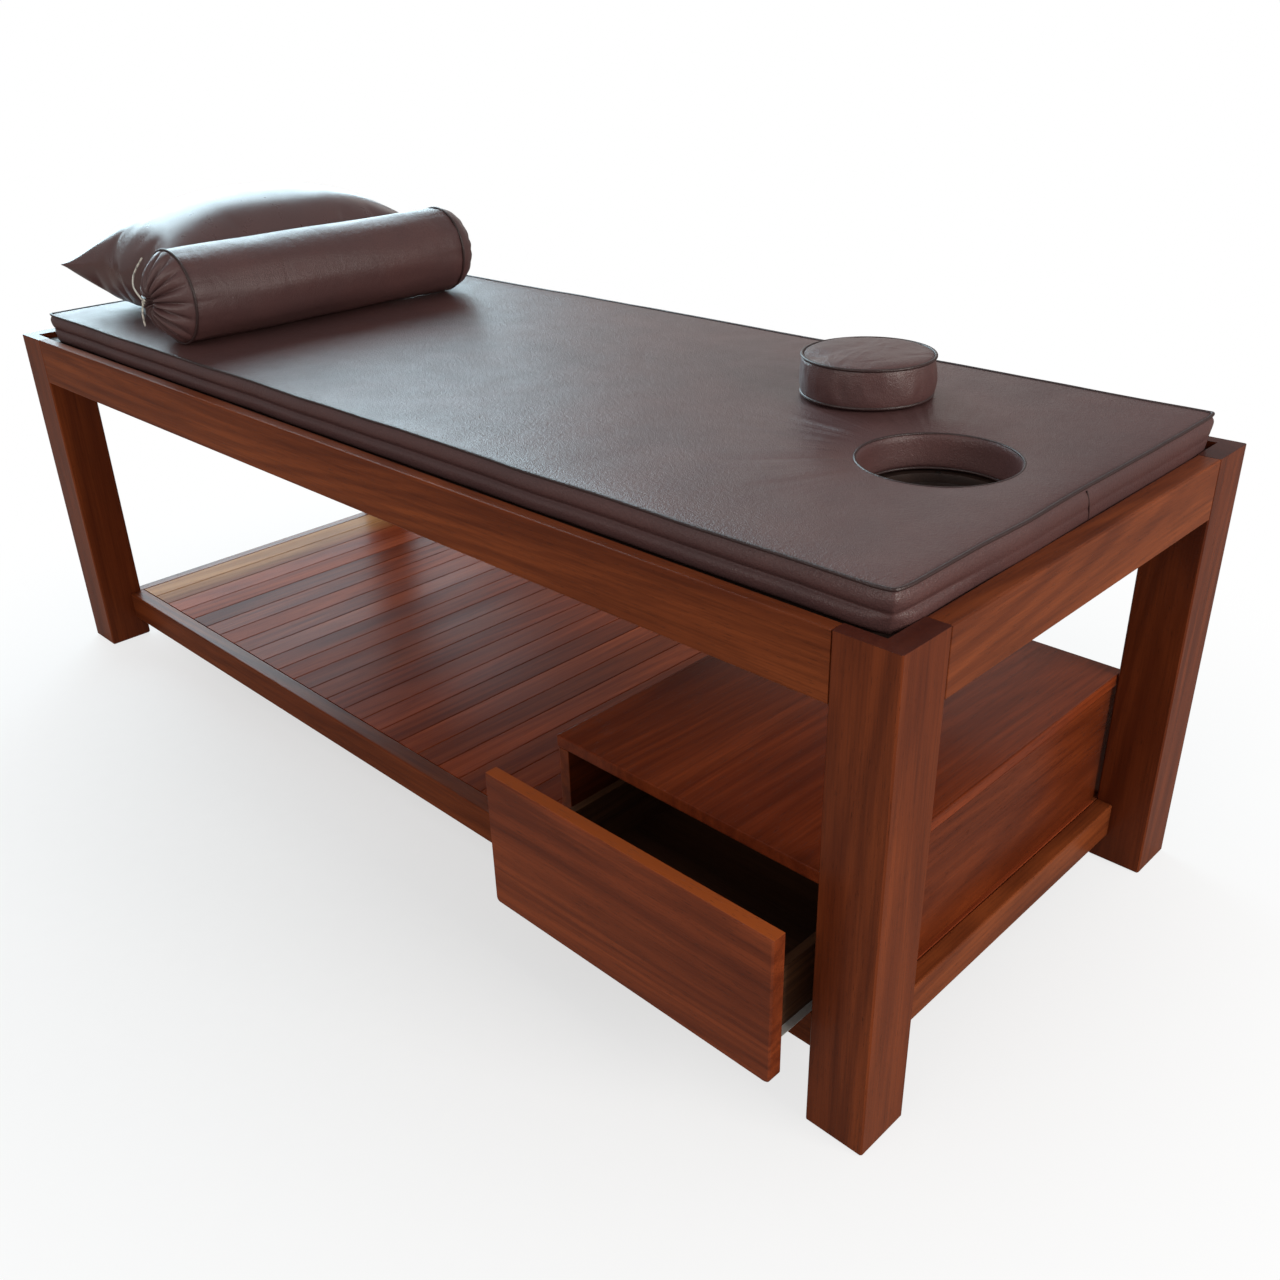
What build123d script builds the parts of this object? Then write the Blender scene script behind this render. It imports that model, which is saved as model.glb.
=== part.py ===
from build123d import *
import os
from math import cos, pi, sin, tan, radians

# Massage bed: a wooden frame, a shelf with a drawer cabinet, a mattress with a face hole, and loose cushions.
# X runs along the bed to the face hole, Y from the drawer's side to the back, and Z up from the floor.
# The origin is on the floor under the middle of the whole box, with the drawer partly open as it stands at rest.

# Frame of four legs and four rails
frame_length = 2000
frame_width = 790
frame_height = 650
leg_length = 80
leg_width = 83
leg_edge_ease = 2
foot_chamfer = 3
rail_height = 82
side_rail_thickness = 20
end_rail_thickness = 30
rail_edge_ease = 1.5

# Mortise and tenon joints
tenon_length = 40
tenon_shoulder = 11
side_tenon_thickness = 10
end_tenon_thickness = 12
shelf_tenon_thickness = 12
shelf_tenon_height = 20
shelf_tenon_shoulder = 6
glue_gap = 0.2

# Base board in its recess, on bearers and cleats
recess_depth = 10
base_thickness = 12
base_gap = 1
bearer_width = 32
bearer_thickness = 20
bearer_gap = 1
end_bearer_inset = 18
hole_bearer_inset = 248
even_bearers = 6
cleat_size = 25
cleat_gap = 2
cleat_screws_a_side = 3

# Face hole in the base board, with a stiffening board under it
face_hole_inset = 211
face_hole_shift = -7
base_hole_radius = 86
stiffener_thickness = 12
stiffener_width = 240
stiffener_gap = 1
hole_screws = 6
hole_screw_turn = 120

# Shelf between the legs
shelf_top = 100
shelf_leg_overlap = 23
shelf_rail_height = 55
shelf_side_thickness = 30
shelf_end_thickness = 25
slat_count = 34
slat_thickness = 15
slat_gap = 0.5
slat_groove = 1
slat_end_gap = 0.5
shelf_cleat_size = 20

# Cabinet on the shelf
cabinet_length = 476
cabinet_height = 210
cabinet_leg_gap = 2
panel_thickness = 18
panel_inset = 4
back_thickness = 12
panel_edge_ease = 1

# Drawer with an overlay front
drawer_open = 106
drawer_length = 500
drawer_side_height = 100
drawer_side_thickness = 12
drawer_side_lift = 14
drawer_back_inset = 10
drawer_back_thickness = 12
bottom_thickness = 5
bottom_groove_lift = 6
bottom_groove_depth = 6
front_groove_depth = 8
groove_play = 0.3
front_thickness = 20
front_height = 206
front_lift = 5
front_inset = 2
front_gap = 1
front_corner_round = 8
front_edge_round = 2

# Roller runners of the drawer
runner_room = 12.5
runner_steel = 1.2
runner_rise = 12
runner_setback = 2
cabinet_flange = 10
drawer_flange = 9.7
drawer_foot_flange = 12
channel_play = 1
roller_radius = 9.3
roller_width = 6.5
roller_inset = 14
roller_room = 0.6
run_gap = 0.05
pin_radius = 2.5
pin_shoulder_radius = 4
pin_shoulder = 1.4
pin_head_radius = 4
pin_head = 0.5
pin_side_play = 0.15

# Screws and dowels, with flat sides where thread or flutes bite the wood
fastener_sides = 6
wood_screw_head = 4
wood_screw_shank = 2
wood_screw_head_depth = 3
frame_screw_length = 35
base_screw_length = 20
base_screw_edge = 75
drawer_screw_length = 30
plate_screw_head = 3.2
plate_screw_head_height = 0.8
plate_screw_shank = 1.5
cabinet_plate_screw_length = 14
drawer_plate_screw_length = 10
plate_screws_a_runner = 2
plate_screw_inset = 75
cabinet_dowel_radius = 4
cabinet_dowel_length = 30
cabinet_dowel_in_board = 11
cabinet_dowel_inset = 95
drawer_dowel_radius = 3
drawer_dowel_length = 28
drawer_dowel_in_front = 10
drawer_dowel_inset = 25

# Mattress
soft_gap = 0.3
cushion_sides = 40
mattress_thickness = 50
mattress_edge_gap = 1
mattress_end_slack = 24
mattress_side_slack = 12
mattress_crown = 2
mattress_crown_inset = 28
mattress_hole_radius = 95
mattress_hole_ease = 3
mattress_top_corner = 12
mattress_bottom_corner = 40
mattress_waist = 3
# Height up the side, pull inwards and softness of the corner, from the bottom edge to the top edge
mattress_side_shares = (
    (0, 1.7, 1),
    (0.14, 0, 0.9),
    (0.42, 0.3, 0.75),
    (0.5, 1, 0.65),
    (0.58, 0.3, 0.5),
    (0.94, 0, 0.15),
    (1, 0.4, 0),
)

# Round cushion of the face hole's size, standing beside the hole
plug_hole_step = 217
plug_back_inset = 241
plug_radius = 93
plug_seam_height = 56
plug_foot_height = 6
plug_crown = 8
plug_piping_radius = 2.5
plug_piping_sink = 3
plug_side_bulge = 2
plug_foot_inset = 8
# Reach from the middle and rise of the crown, from its edge inwards
plug_crown_shares = ((0.8, 0.45), (0.45, 0.85), (0.12, 1))

# Bolster, gathered at its near end
bolster_inset = 512
bolster_radius = 78
bolster_near_inset = 78
bolster_length = 600
bolster_end_draw = 2.5
bolster_end_round = 45
bolster_end_flat = 30
bolster_piping_radius = 2.5
# Place along the body and swell of its side
bolster_side_shares = ((0.25, 1), (0.75, 1), (1, 0))
# Place along the far end's round and its drop towards the flat
bolster_end_shares = ((0.5, 0.13), (0.87, 0.5), (1, 1))
gather_depth = 43
gather_pleats = 15
gather_valley_share = 0.9
# Depth and the pleats' reach from the middle
gather_shares = ((0, 0.95), (0.45, 0.92), (0.85, 0.6), (1, 0.21))

# Pillow behind the bolster
pillow_length = 652
pillow_width = 383
pillow_height = 195
pillow_near_inset = 83
pillow_bolster_gap = 1
pillow_sides = 12
# Place along the pillow, width, then the heights of the side seams, the crest and the belly
pillow_shares = (
    (0, 0.93, 0.41, 0.46, 0.37),
    (0.03, 0.96, 0.41, 0.67, 0.2),
    (0.12, 1, 0.42, 0.89, 0.02),
    (0.5, 0.97, 0.44, 1, -0.06),
    (0.88, 1, 0.42, 0.86, 0.02),
    (0.97, 0.96, 0.41, 0.64, 0.19),
    (1, 0.93, 0.41, 0.46, 0.37),
)

# Drawstring of the bolster, as points from the middle of its gathered end
cord_radius = 1.5
cord_sides = 8
bend_share = 0.45
knot_radius = 4.5
knot_ease = 1.5
knot_shift = -9
upper_tail = (
    (-12, -5, 3),
    (-34, -6, 15),
    (-53, 3, 27),
    (-65, 16, 41),
    (-63, 32, 59),
)
lower_tail = (
    (-10, -6, -3),
    (-12, -9, -15.5),
    (-16, -8, -28.5),
    (-21, -5, -41.5),
)

overrun = 5

# Places that follow from the sizes
leg_x = frame_length / 2 - leg_length
leg_y = frame_width / 2 - leg_width
shelf_y = leg_y + shelf_leg_overlap
open_reach = shelf_y + front_gap + drawer_open + front_thickness
centre_y = (open_reach - frame_width / 2) / 2
rail_bottom = frame_height - rail_height
recess_x = frame_length / 2 - end_rail_thickness
recess_y = frame_width / 2 - side_rail_thickness
base_top = frame_height - recess_depth
base_bottom = base_top - base_thickness
bearer_bottom = base_bottom - bearer_thickness
cleat_bottom = bearer_bottom - cleat_size
cleat_middle_y = recess_y - cleat_size / 2
face_hole_place = frame_length / 2 - face_hole_inset
face_hole_y = centre_y + face_hole_shift
hole_screw_circle = (base_hole_radius + mattress_hole_radius) / 2
shelf_bottom = shelf_top - shelf_rail_height
slat_pitch = 2 * leg_x / slat_count

cabinet_right = leg_x - cabinet_leg_gap
cabinet_x = cabinet_right - cabinet_length / 2
cabinet_top_z = shelf_top + cabinet_height
panel_top = cabinet_top_z - panel_thickness
panel_out = cabinet_length / 2 - panel_inset
panel_in = panel_out - panel_thickness

front_back_y = centre_y - shelf_y - front_gap - drawer_open
front_face_y = front_back_y - front_thickness
drawer_end_y = front_back_y + drawer_length
drawer_bottom_z = shelf_top + drawer_side_lift
drawer_top_z = drawer_bottom_z + drawer_side_height
drawer_out = panel_in - runner_room
drawer_in = drawer_out - drawer_side_thickness
groove_z = drawer_bottom_z + bottom_groove_lift
groove_top = groove_z + bottom_thickness + groove_play
drawer_back_y = drawer_end_y - drawer_back_inset - drawer_back_thickness

flange_z = drawer_bottom_z + runner_rise
channel_floor = flange_z - 2 * roller_radius - roller_room
channel_ceiling = flange_z + runner_steel + channel_play
runner_front_y = centre_y - shelf_y + runner_setback
runner_back_y = runner_front_y + drawer_length
front_roller_y = runner_front_y + roller_inset
back_roller_y = drawer_end_y - roller_inset
front_roller_z = flange_z - run_gap - roller_radius
back_roller_z = channel_floor + run_gap + roller_radius

mattress_bottom = base_top + soft_gap
mattress_edge_z = mattress_bottom + mattress_thickness
mattress_top = mattress_edge_z + mattress_crown
mattress_length = 2 * recess_x - mattress_edge_gap - mattress_end_slack
mattress_width = 2 * recess_y - mattress_edge_gap - mattress_side_slack
mattress_x = recess_x - mattress_edge_gap - mattress_length / 2
mattress_y = centre_y + recess_y - mattress_edge_gap - mattress_width / 2
cushion_z = mattress_top + soft_gap
plug_place = face_hole_place - plug_hole_step
plug_y = centre_y + frame_width / 2 - plug_back_inset
bolster_place = bolster_inset - frame_length / 2
bolster_z = cushion_z + bolster_radius
bolster_y = centre_y - frame_width / 2 + bolster_near_inset
gather_end_y = bolster_y - gather_depth
pillow_x = bolster_place - bolster_radius - pillow_bolster_gap - pillow_width / 2
pillow_near_y = centre_y - frame_width / 2 + pillow_near_inset

bearer_step = (frame_length - hole_bearer_inset - end_bearer_inset - 2 * leg_length) / (even_bearers - 1)
bearer_places = [end_bearer_inset - leg_x + bearer_step * number for number in range(even_bearers)]
bearer_places.append(leg_x - end_bearer_inset)

sides = (-1, 1)
lengthwise = (("front", -1), ("back", 1))
crosswise = (("left", -1), ("right", 1))


def save(piece, name):
    """Label a finished piece and write it under its own name."""
    piece.part.label = name
    export_step(piece.part, f"parts/{name}.step")


def span(x_ends, y_ends, z_ends):
    """Lowest and highest corner of the block between two places along each axis."""
    ends = [sorted(pair) for pair in (x_ends, y_ends, z_ends)]
    return tuple(low for low, high in ends), tuple(high for low, high in ends)


def grown(low, high, gap):
    """The same block with a gap added on every side."""
    return tuple(place - gap for place in low), tuple(place + gap for place in high)


def block(low, high, mode=Mode.ADD):
    """Add or cut the block between two corners."""
    middle = tuple((a + b) / 2 for a, b in zip(low, high))
    with Locations(middle):
        Box(*(b - a for a, b in zip(low, high)), mode=mode)


def board(low, high, ease=0, axis=None):
    """Extrude a board upwards, with the long edges along one axis eased."""
    with BuildSketch(Plane.XY.offset(low[2])) as outline:
        with Locations(((low[0] + high[0]) / 2, (low[1] + high[1]) / 2)):
            Rectangle(high[0] - low[0], high[1] - low[1])
    made = extrude(outline.sketch, amount=high[2] - low[2])
    if ease:
        chamfer(made.edges().filter_by(axis), ease)


def along_y(points, y_front, y_back):
    """Extrude an outline of X and Z points between two places along Y."""
    with BuildSketch(Plane.XZ.offset(-y_back)) as outline:
        with BuildLine():
            Polyline(*points, close=True)
        make_face()
    extrude(outline.sketch, amount=y_back - y_front)


def rod(start, end, radius, mode=Mode.ADD):
    """Add or cut a round rod along X, from one end to the other."""
    with BuildSketch(Plane.YZ.offset(min(start[0], end[0]))) as outline:
        with Locations(start[1:]):
            Circle(radius)
    extrude(outline.sketch, amount=abs(end[0] - start[0]), mode=mode)


def prism(at, direction, radius, length, mode=Mode.ADD):
    """Add or cut a fastener's flat-sided shank that starts at a point."""
    with BuildSketch(Plane(origin=at, z_dir=direction)) as outline:
        RegularPolygon(radius, fastener_sides)
    extrude(outline.sketch, amount=length, mode=mode)


def wood_screw(at, direction, length, mode=Mode.ADD):
    """Add or cut a countersunk screw whose head is flush at a point."""
    face = Plane(origin=at, z_dir=direction)
    with BuildSketch(face) as head:
        RegularPolygon(wood_screw_head, fastener_sides)
    with BuildSketch(face.offset(wood_screw_head_depth)) as neck:
        RegularPolygon(wood_screw_shank, fastener_sides)
    loft([head.sketch, neck.sketch], ruled=True, mode=mode)
    extrude(neck.sketch, amount=length - wood_screw_head_depth, mode=mode)


def plate_screw(at, direction, length, mode=Mode.ADD):
    """Add or cut a flat-headed screw that clamps sheet steel at a point."""
    top = tuple(place - plate_screw_head_height * way for place, way in zip(at, direction))
    prism(top, direction, plate_screw_head, plate_screw_head_height, mode)
    prism(at, direction, plate_screw_shank, length, mode)


def side_tenon(side_x, side_y):
    """Tenon of a long top rail in one leg."""
    middle = centre_y + side_y * (frame_width - side_rail_thickness) / 2
    return span(
        (side_x * leg_x, side_x * (leg_x + tenon_length)),
        (middle - side_tenon_thickness / 2, middle + side_tenon_thickness / 2),
        (rail_bottom + tenon_shoulder, frame_height - tenon_shoulder),
    )


def end_tenon(side_x, side_y):
    """Tenon of a short top rail in one leg."""
    middle = side_x * (frame_length - end_rail_thickness) / 2
    return span(
        (middle - end_tenon_thickness / 2, middle + end_tenon_thickness / 2),
        (centre_y + side_y * leg_y, centre_y + side_y * (leg_y + tenon_length)),
        (rail_bottom + tenon_shoulder, frame_height - tenon_shoulder),
    )


def shelf_side_tenon(side_x, side_y):
    """Tenon of a long shelf rail, in the upper half so that the two shelf tenons pass each other."""
    middle = centre_y + side_y * (shelf_y + leg_y) / 2
    top = shelf_top - shelf_tenon_shoulder
    return span(
        (side_x * leg_x, side_x * (leg_x + tenon_length)),
        (middle - shelf_tenon_thickness / 2, middle + shelf_tenon_thickness / 2),
        (top - shelf_tenon_height, top),
    )


def shelf_end_tenon(side_x, side_y):
    """Tenon of a short shelf rail, in the lower half."""
    middle = side_x * (leg_x + shelf_end_thickness / 2)
    bottom = shelf_bottom + shelf_tenon_shoulder
    return span(
        (middle - shelf_tenon_thickness / 2, middle + shelf_tenon_thickness / 2),
        (centre_y + side_y * leg_y, centre_y + side_y * (leg_y + tenon_length)),
        (bottom, bottom + shelf_tenon_height),
    )


def cleat_screw_places():
    """Screws through the cleats, halfway between bearers, as place, direction and rail side."""
    for name, side_y in lengthwise:
        for number in range(cleat_screws_a_side):
            left = bearer_places[2 * number]
            x = left + bearer_step / 2
            y = centre_y + side_y * (recess_y - cleat_size)
            yield name, (x, y, cleat_bottom + cleat_size / 2), (0, side_y, 0)


def bearer_screw_places(x):
    """Screws down through one bearer into both cleats."""
    for name, side_y in lengthwise:
        yield name, (x, centre_y + side_y * cleat_middle_y, base_bottom), (0, 0, -1)


def base_screw_places():
    """Screws down through the base board into its first and last bearers."""
    for x in (bearer_places[0], bearer_places[-1]):
        for side_y in sides:
            yield x, (x, centre_y + side_y * (recess_y - base_screw_edge), base_top)


def hole_screw_points():
    """Screws round the face hole, down into the stiffening board."""
    for number in range(hole_screws):
        angle = radians(hole_screw_turn) + 2 * pi * number / hole_screws
        x = face_hole_place + hole_screw_circle * cos(angle)
        y = face_hole_y + hole_screw_circle * sin(angle)
        yield (x, y, base_top)


def make_legs():
    """Square legs with eased edges, mortises and a seat for the base board's corners."""
    for name_y, side_y in lengthwise:
        for name_x, side_x in crosswise:
            with BuildPart() as leg:
                with BuildSketch() as foot:
                    with Locations(
                        (side_x * (leg_x + leg_length / 2), centre_y + side_y * (leg_y + leg_width / 2))
                    ):
                        Rectangle(leg_length, leg_width)
                extrude(amount=frame_height)
                chamfer(leg.edges().filter_by(Axis.Z), leg_edge_ease)
                chamfer(leg.faces().sort_by(Axis.Z)[0].edges(), foot_chamfer)
                with BuildSketch(Plane.XY.offset(base_bottom)) as seat:
                    with Locations((0, centre_y)):
                        Rectangle(2 * recess_x, 2 * recess_y)
                extrude(amount=frame_height, mode=Mode.SUBTRACT)
                for tenon in (side_tenon, end_tenon, shelf_side_tenon, shelf_end_tenon):
                    block(*grown(*tenon(side_x, side_y), glue_gap), mode=Mode.SUBTRACT)
            save(leg, f"leg_{name_y}_{name_x}")


def make_top_rails():
    """Long and short rails flush with the legs, with a tenon at each end."""
    for name, side_y in lengthwise:
        low, high = span(
            (-leg_x, leg_x),
            (centre_y + side_y * recess_y, centre_y + side_y * frame_width / 2),
            (rail_bottom, frame_height),
        )
        with BuildPart() as rail:
            board(low, high, rail_edge_ease, Axis.X)
            for side_x in sides:
                block(*side_tenon(side_x, side_y))
            for screw_side, at, direction in cleat_screw_places():
                if screw_side == name:
                    wood_screw(at, direction, frame_screw_length, Mode.SUBTRACT)
        save(rail, f"rail_{name}")
    for name, side_x in crosswise:
        low, high = span(
            (side_x * recess_x, side_x * frame_length / 2),
            (centre_y - leg_y, centre_y + leg_y),
            (rail_bottom, frame_height),
        )
        with BuildPart() as rail:
            board(low, high, rail_edge_ease, Axis.Y)
            for side_y in sides:
                block(*end_tenon(side_x, side_y))
        save(rail, f"rail_{name}")


def make_cleats():
    """Strips along the long rails that carry the bearers."""
    for name, side_y in lengthwise:
        with BuildPart() as cleat:
            board(
                *span(
                    (cleat_gap - leg_x, leg_x - cleat_gap),
                    (centre_y + side_y * (recess_y - cleat_size), centre_y + side_y * recess_y),
                    (cleat_bottom, bearer_bottom),
                )
            )
            for screw_side, at, direction in cleat_screw_places():
                if screw_side == name:
                    wood_screw(at, direction, frame_screw_length, Mode.SUBTRACT)
            for x in bearer_places:
                for screw_side, at, direction in bearer_screw_places(x):
                    if screw_side == name:
                        wood_screw(at, direction, frame_screw_length, Mode.SUBTRACT)
        save(cleat, f"cleat_{name}")


def make_bearers():
    """Cross bearers under the base board."""
    for number, x in enumerate(bearer_places, 1):
        reach = recess_y - bearer_gap
        with BuildPart() as bearer:
            board(
                *span(
                    (x - bearer_width / 2, x + bearer_width / 2),
                    (centre_y - reach, centre_y + reach),
                    (bearer_bottom, base_bottom),
                )
            )
            for name, at, direction in bearer_screw_places(x):
                wood_screw(at, direction, frame_screw_length, Mode.SUBTRACT)
            for screwed_x, at in base_screw_places():
                if screwed_x == x:
                    wood_screw(at, (0, 0, -1), base_screw_length, Mode.SUBTRACT)
        save(bearer, f"bearer_{number}")


def make_frame_screws():
    """Screws that hold the cleats on the rails and the bearers on the cleats."""
    with BuildPart() as frame_screws:
        for name, at, direction in cleat_screw_places():
            wood_screw(at, direction, frame_screw_length)
        for x in bearer_places:
            for name, at, direction in bearer_screw_places(x):
                wood_screw(at, direction, frame_screw_length)
    save(frame_screws, "frame_screws")


def make_base():
    """Base board with its round hole, the stiffening board below it and their screws."""
    with BuildPart() as base_board:
        board(
            *span(
                (base_gap - recess_x, recess_x - base_gap),
                (centre_y - recess_y + base_gap, centre_y + recess_y - base_gap),
                (base_bottom, base_top),
            )
        )
        with Locations((face_hole_place, face_hole_y, base_top)):
            Hole(base_hole_radius)
        for x, at in base_screw_places():
            wood_screw(at, (0, 0, -1), base_screw_length, Mode.SUBTRACT)
        for at in hole_screw_points():
            wood_screw(at, (0, 0, -1), base_screw_length, Mode.SUBTRACT)
    save(base_board, "base_board")

    with BuildPart() as hole_stiffener:
        board(
            *span(
                (
                    bearer_places[-2] + bearer_width / 2 + stiffener_gap,
                    bearer_places[-1] - bearer_width / 2 - stiffener_gap,
                ),
                (face_hole_y - stiffener_width / 2, face_hole_y + stiffener_width / 2),
                (base_bottom - stiffener_thickness, base_bottom),
            )
        )
        with Locations((face_hole_place, face_hole_y, base_bottom)):
            Hole(base_hole_radius)
        for at in hole_screw_points():
            wood_screw(at, (0, 0, -1), base_screw_length, Mode.SUBTRACT)
    save(hole_stiffener, "hole_stiffener")

    with BuildPart() as base_screws:
        for x, at in base_screw_places():
            wood_screw(at, (0, 0, -1), base_screw_length)
        for at in hole_screw_points():
            wood_screw(at, (0, 0, -1), base_screw_length)
    save(base_screws, "base_screws")


def cabinet_foot_dowels():
    """Dowels between the side panels and the long shelf rails, as side and place."""
    for name_x, side_x in crosswise:
        for name_y, side_y in lengthwise:
            x = cabinet_x + side_x * (panel_out - panel_thickness / 2)
            y = centre_y + side_y * (shelf_y - shelf_side_thickness / 2)
            yield name_x, name_y, (x, y, shelf_top - cabinet_dowel_in_board)


def cabinet_head_dowels():
    """Dowels between the side panels and the top board, as side and place."""
    for name_x, side_x in crosswise:
        for side_y in sides:
            x = cabinet_x + side_x * (panel_out - panel_thickness / 2)
            y = centre_y + side_y * (shelf_y - cabinet_dowel_inset)
            yield name_x, (x, y, panel_top - cabinet_dowel_length + cabinet_dowel_in_board)


def cabinet_dowel(at, mode=Mode.ADD):
    """Add or cut one upright dowel of the cabinet."""
    prism(at, (0, 0, 1), cabinet_dowel_radius, cabinet_dowel_length, mode)


def make_shelf():
    """Shelf rails between the legs, cleats inside them and the slats."""
    for name, side_y in lengthwise:
        low, high = span(
            (-leg_x, leg_x),
            (centre_y + side_y * (shelf_y - shelf_side_thickness), centre_y + side_y * shelf_y),
            (shelf_bottom, shelf_top),
        )
        with BuildPart() as rail:
            board(low, high, rail_edge_ease, Axis.X)
            for side_x in sides:
                block(*shelf_side_tenon(side_x, side_y))
            for name_x, name_y, at in cabinet_foot_dowels():
                if name_y == name:
                    cabinet_dowel(at, Mode.SUBTRACT)
        save(rail, f"shelf_rail_{name}")
    for name, side_x in crosswise:
        low, high = span(
            (side_x * leg_x, side_x * (leg_x + shelf_end_thickness)),
            (centre_y - leg_y, centre_y + leg_y),
            (shelf_bottom, shelf_top),
        )
        with BuildPart() as rail:
            board(low, high, rail_edge_ease, Axis.Y)
            for side_y in sides:
                block(*shelf_end_tenon(side_x, side_y))
        save(rail, f"shelf_rail_{name}")

    inner_y = shelf_y - shelf_side_thickness
    for name, side_y in lengthwise:
        with BuildPart() as cleat:
            board(
                *span(
                    (cleat_gap - leg_x, leg_x - cleat_gap),
                    (centre_y + side_y * (inner_y - shelf_cleat_size), centre_y + side_y * inner_y),
                    (shelf_top - slat_thickness - shelf_cleat_size, shelf_top - slat_thickness),
                )
            )
        save(cleat, f"shelf_cleat_{name}")

    with BuildPart() as shelf_slats:
        slat_width = slat_pitch - slat_gap
        with BuildSketch(Plane.XZ.offset(inner_y - slat_end_gap - centre_y)) as section:
            with Locations((slat_pitch / 2 - leg_x, shelf_top - slat_thickness / 2)):
                Rectangle(slat_width, slat_thickness)
            chamfer(section.vertices().group_by(Axis.Y)[-1], slat_groove)
        slat = extrude(section.sketch, amount=-2 * (inner_y - slat_end_gap), mode=Mode.PRIVATE)
        with Locations([(slat_pitch * number, 0, 0) for number in range(slat_count)]):
            add(slat)
    save(shelf_slats, "shelf_slats")


def make_cabinet():
    """Open cabinet of two side panels, a back and a top board on the shelf."""
    with BuildPart() as cabinet_top:
        low, high = span(
            (cabinet_x - cabinet_length / 2, cabinet_x + cabinet_length / 2),
            (centre_y - shelf_y, centre_y + shelf_y),
            (panel_top, cabinet_top_z),
        )
        board(low, high)
        chamfer(cabinet_top.edges().filter_by(Axis.Z, reverse=True), panel_edge_ease)
        for name, at in cabinet_head_dowels():
            cabinet_dowel(at, Mode.SUBTRACT)
    save(cabinet_top, "cabinet_top")

    for name, side_x in crosswise:
        with BuildPart() as panel:
            board(
                *span(
                    (cabinet_x + side_x * panel_in, cabinet_x + side_x * panel_out),
                    (centre_y - shelf_y, centre_y + shelf_y),
                    (shelf_top, panel_top),
                )
            )
            for name_x, at in cabinet_head_dowels():
                if name_x == name:
                    cabinet_dowel(at, Mode.SUBTRACT)
            for name_x, name_y, at in cabinet_foot_dowels():
                if name_x == name:
                    cabinet_dowel(at, Mode.SUBTRACT)
            for at in cabinet_plate_screw_points(side_x):
                plate_screw(at, (side_x, 0, 0), cabinet_plate_screw_length, Mode.SUBTRACT)
        save(panel, f"cabinet_side_{name}")

    with BuildPart() as cabinet_back:
        board(
            *span(
                (cabinet_x - panel_in, cabinet_x + panel_in),
                (centre_y + shelf_y - back_thickness, centre_y + shelf_y),
                (shelf_top, panel_top),
            )
        )
    save(cabinet_back, "cabinet_back")

    with BuildPart() as cabinet_dowels:
        for name_x, at in cabinet_head_dowels():
            cabinet_dowel(at)
        for name_x, name_y, at in cabinet_foot_dowels():
            cabinet_dowel(at)
    save(cabinet_dowels, "cabinet_dowels")


def screw_steps(y_start):
    """Places of a runner's screws along its length."""
    step = (drawer_length - 2 * plate_screw_inset) / (plate_screws_a_runner - 1)
    return [y_start + plate_screw_inset + step * number for number in range(plate_screws_a_runner)]


def cabinet_plate_screw_points(side_x):
    """Screws on the web of one cabinet runner."""
    x = cabinet_x + side_x * (panel_in - runner_steel)
    z = (channel_floor + flange_z) / 2
    return [(x, y, z) for y in screw_steps(runner_front_y)]


def drawer_plate_screw_points(side_x):
    """Screws on the web of one drawer runner."""
    x = cabinet_x + side_x * (drawer_out + runner_steel)
    z = drawer_bottom_z + bottom_groove_lift / 2
    return [(x, y, z) for y in screw_steps(front_back_y)]


def roller_pin(web_x, side_x, y, z, mode=Mode.ADD):
    """Add the shouldered pin that stands on a runner's web and carries a roller."""
    shoulder_x = web_x + side_x * pin_shoulder
    head_x = shoulder_x + side_x * (roller_width + 2 * pin_side_play)
    rod((web_x - side_x * runner_steel, y, z), (head_x, y, z), pin_radius, mode)
    prism((web_x, y, z), (side_x, 0, 0), pin_shoulder_radius, pin_shoulder, mode)
    prism((head_x, y, z), (side_x, 0, 0), pin_head_radius, pin_head, mode)


def make_roller(name, web_x, side_x, y, z):
    """Nylon roller with a running fit on its pin."""
    near = (web_x + side_x * (pin_shoulder + pin_side_play), y, z)
    far = (near[0] + side_x * roller_width, y, z)
    with BuildPart() as roller:
        rod(near, far, roller_radius)
        rod(near, far, pin_radius + run_gap, Mode.SUBTRACT)
    save(roller, name)


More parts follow.
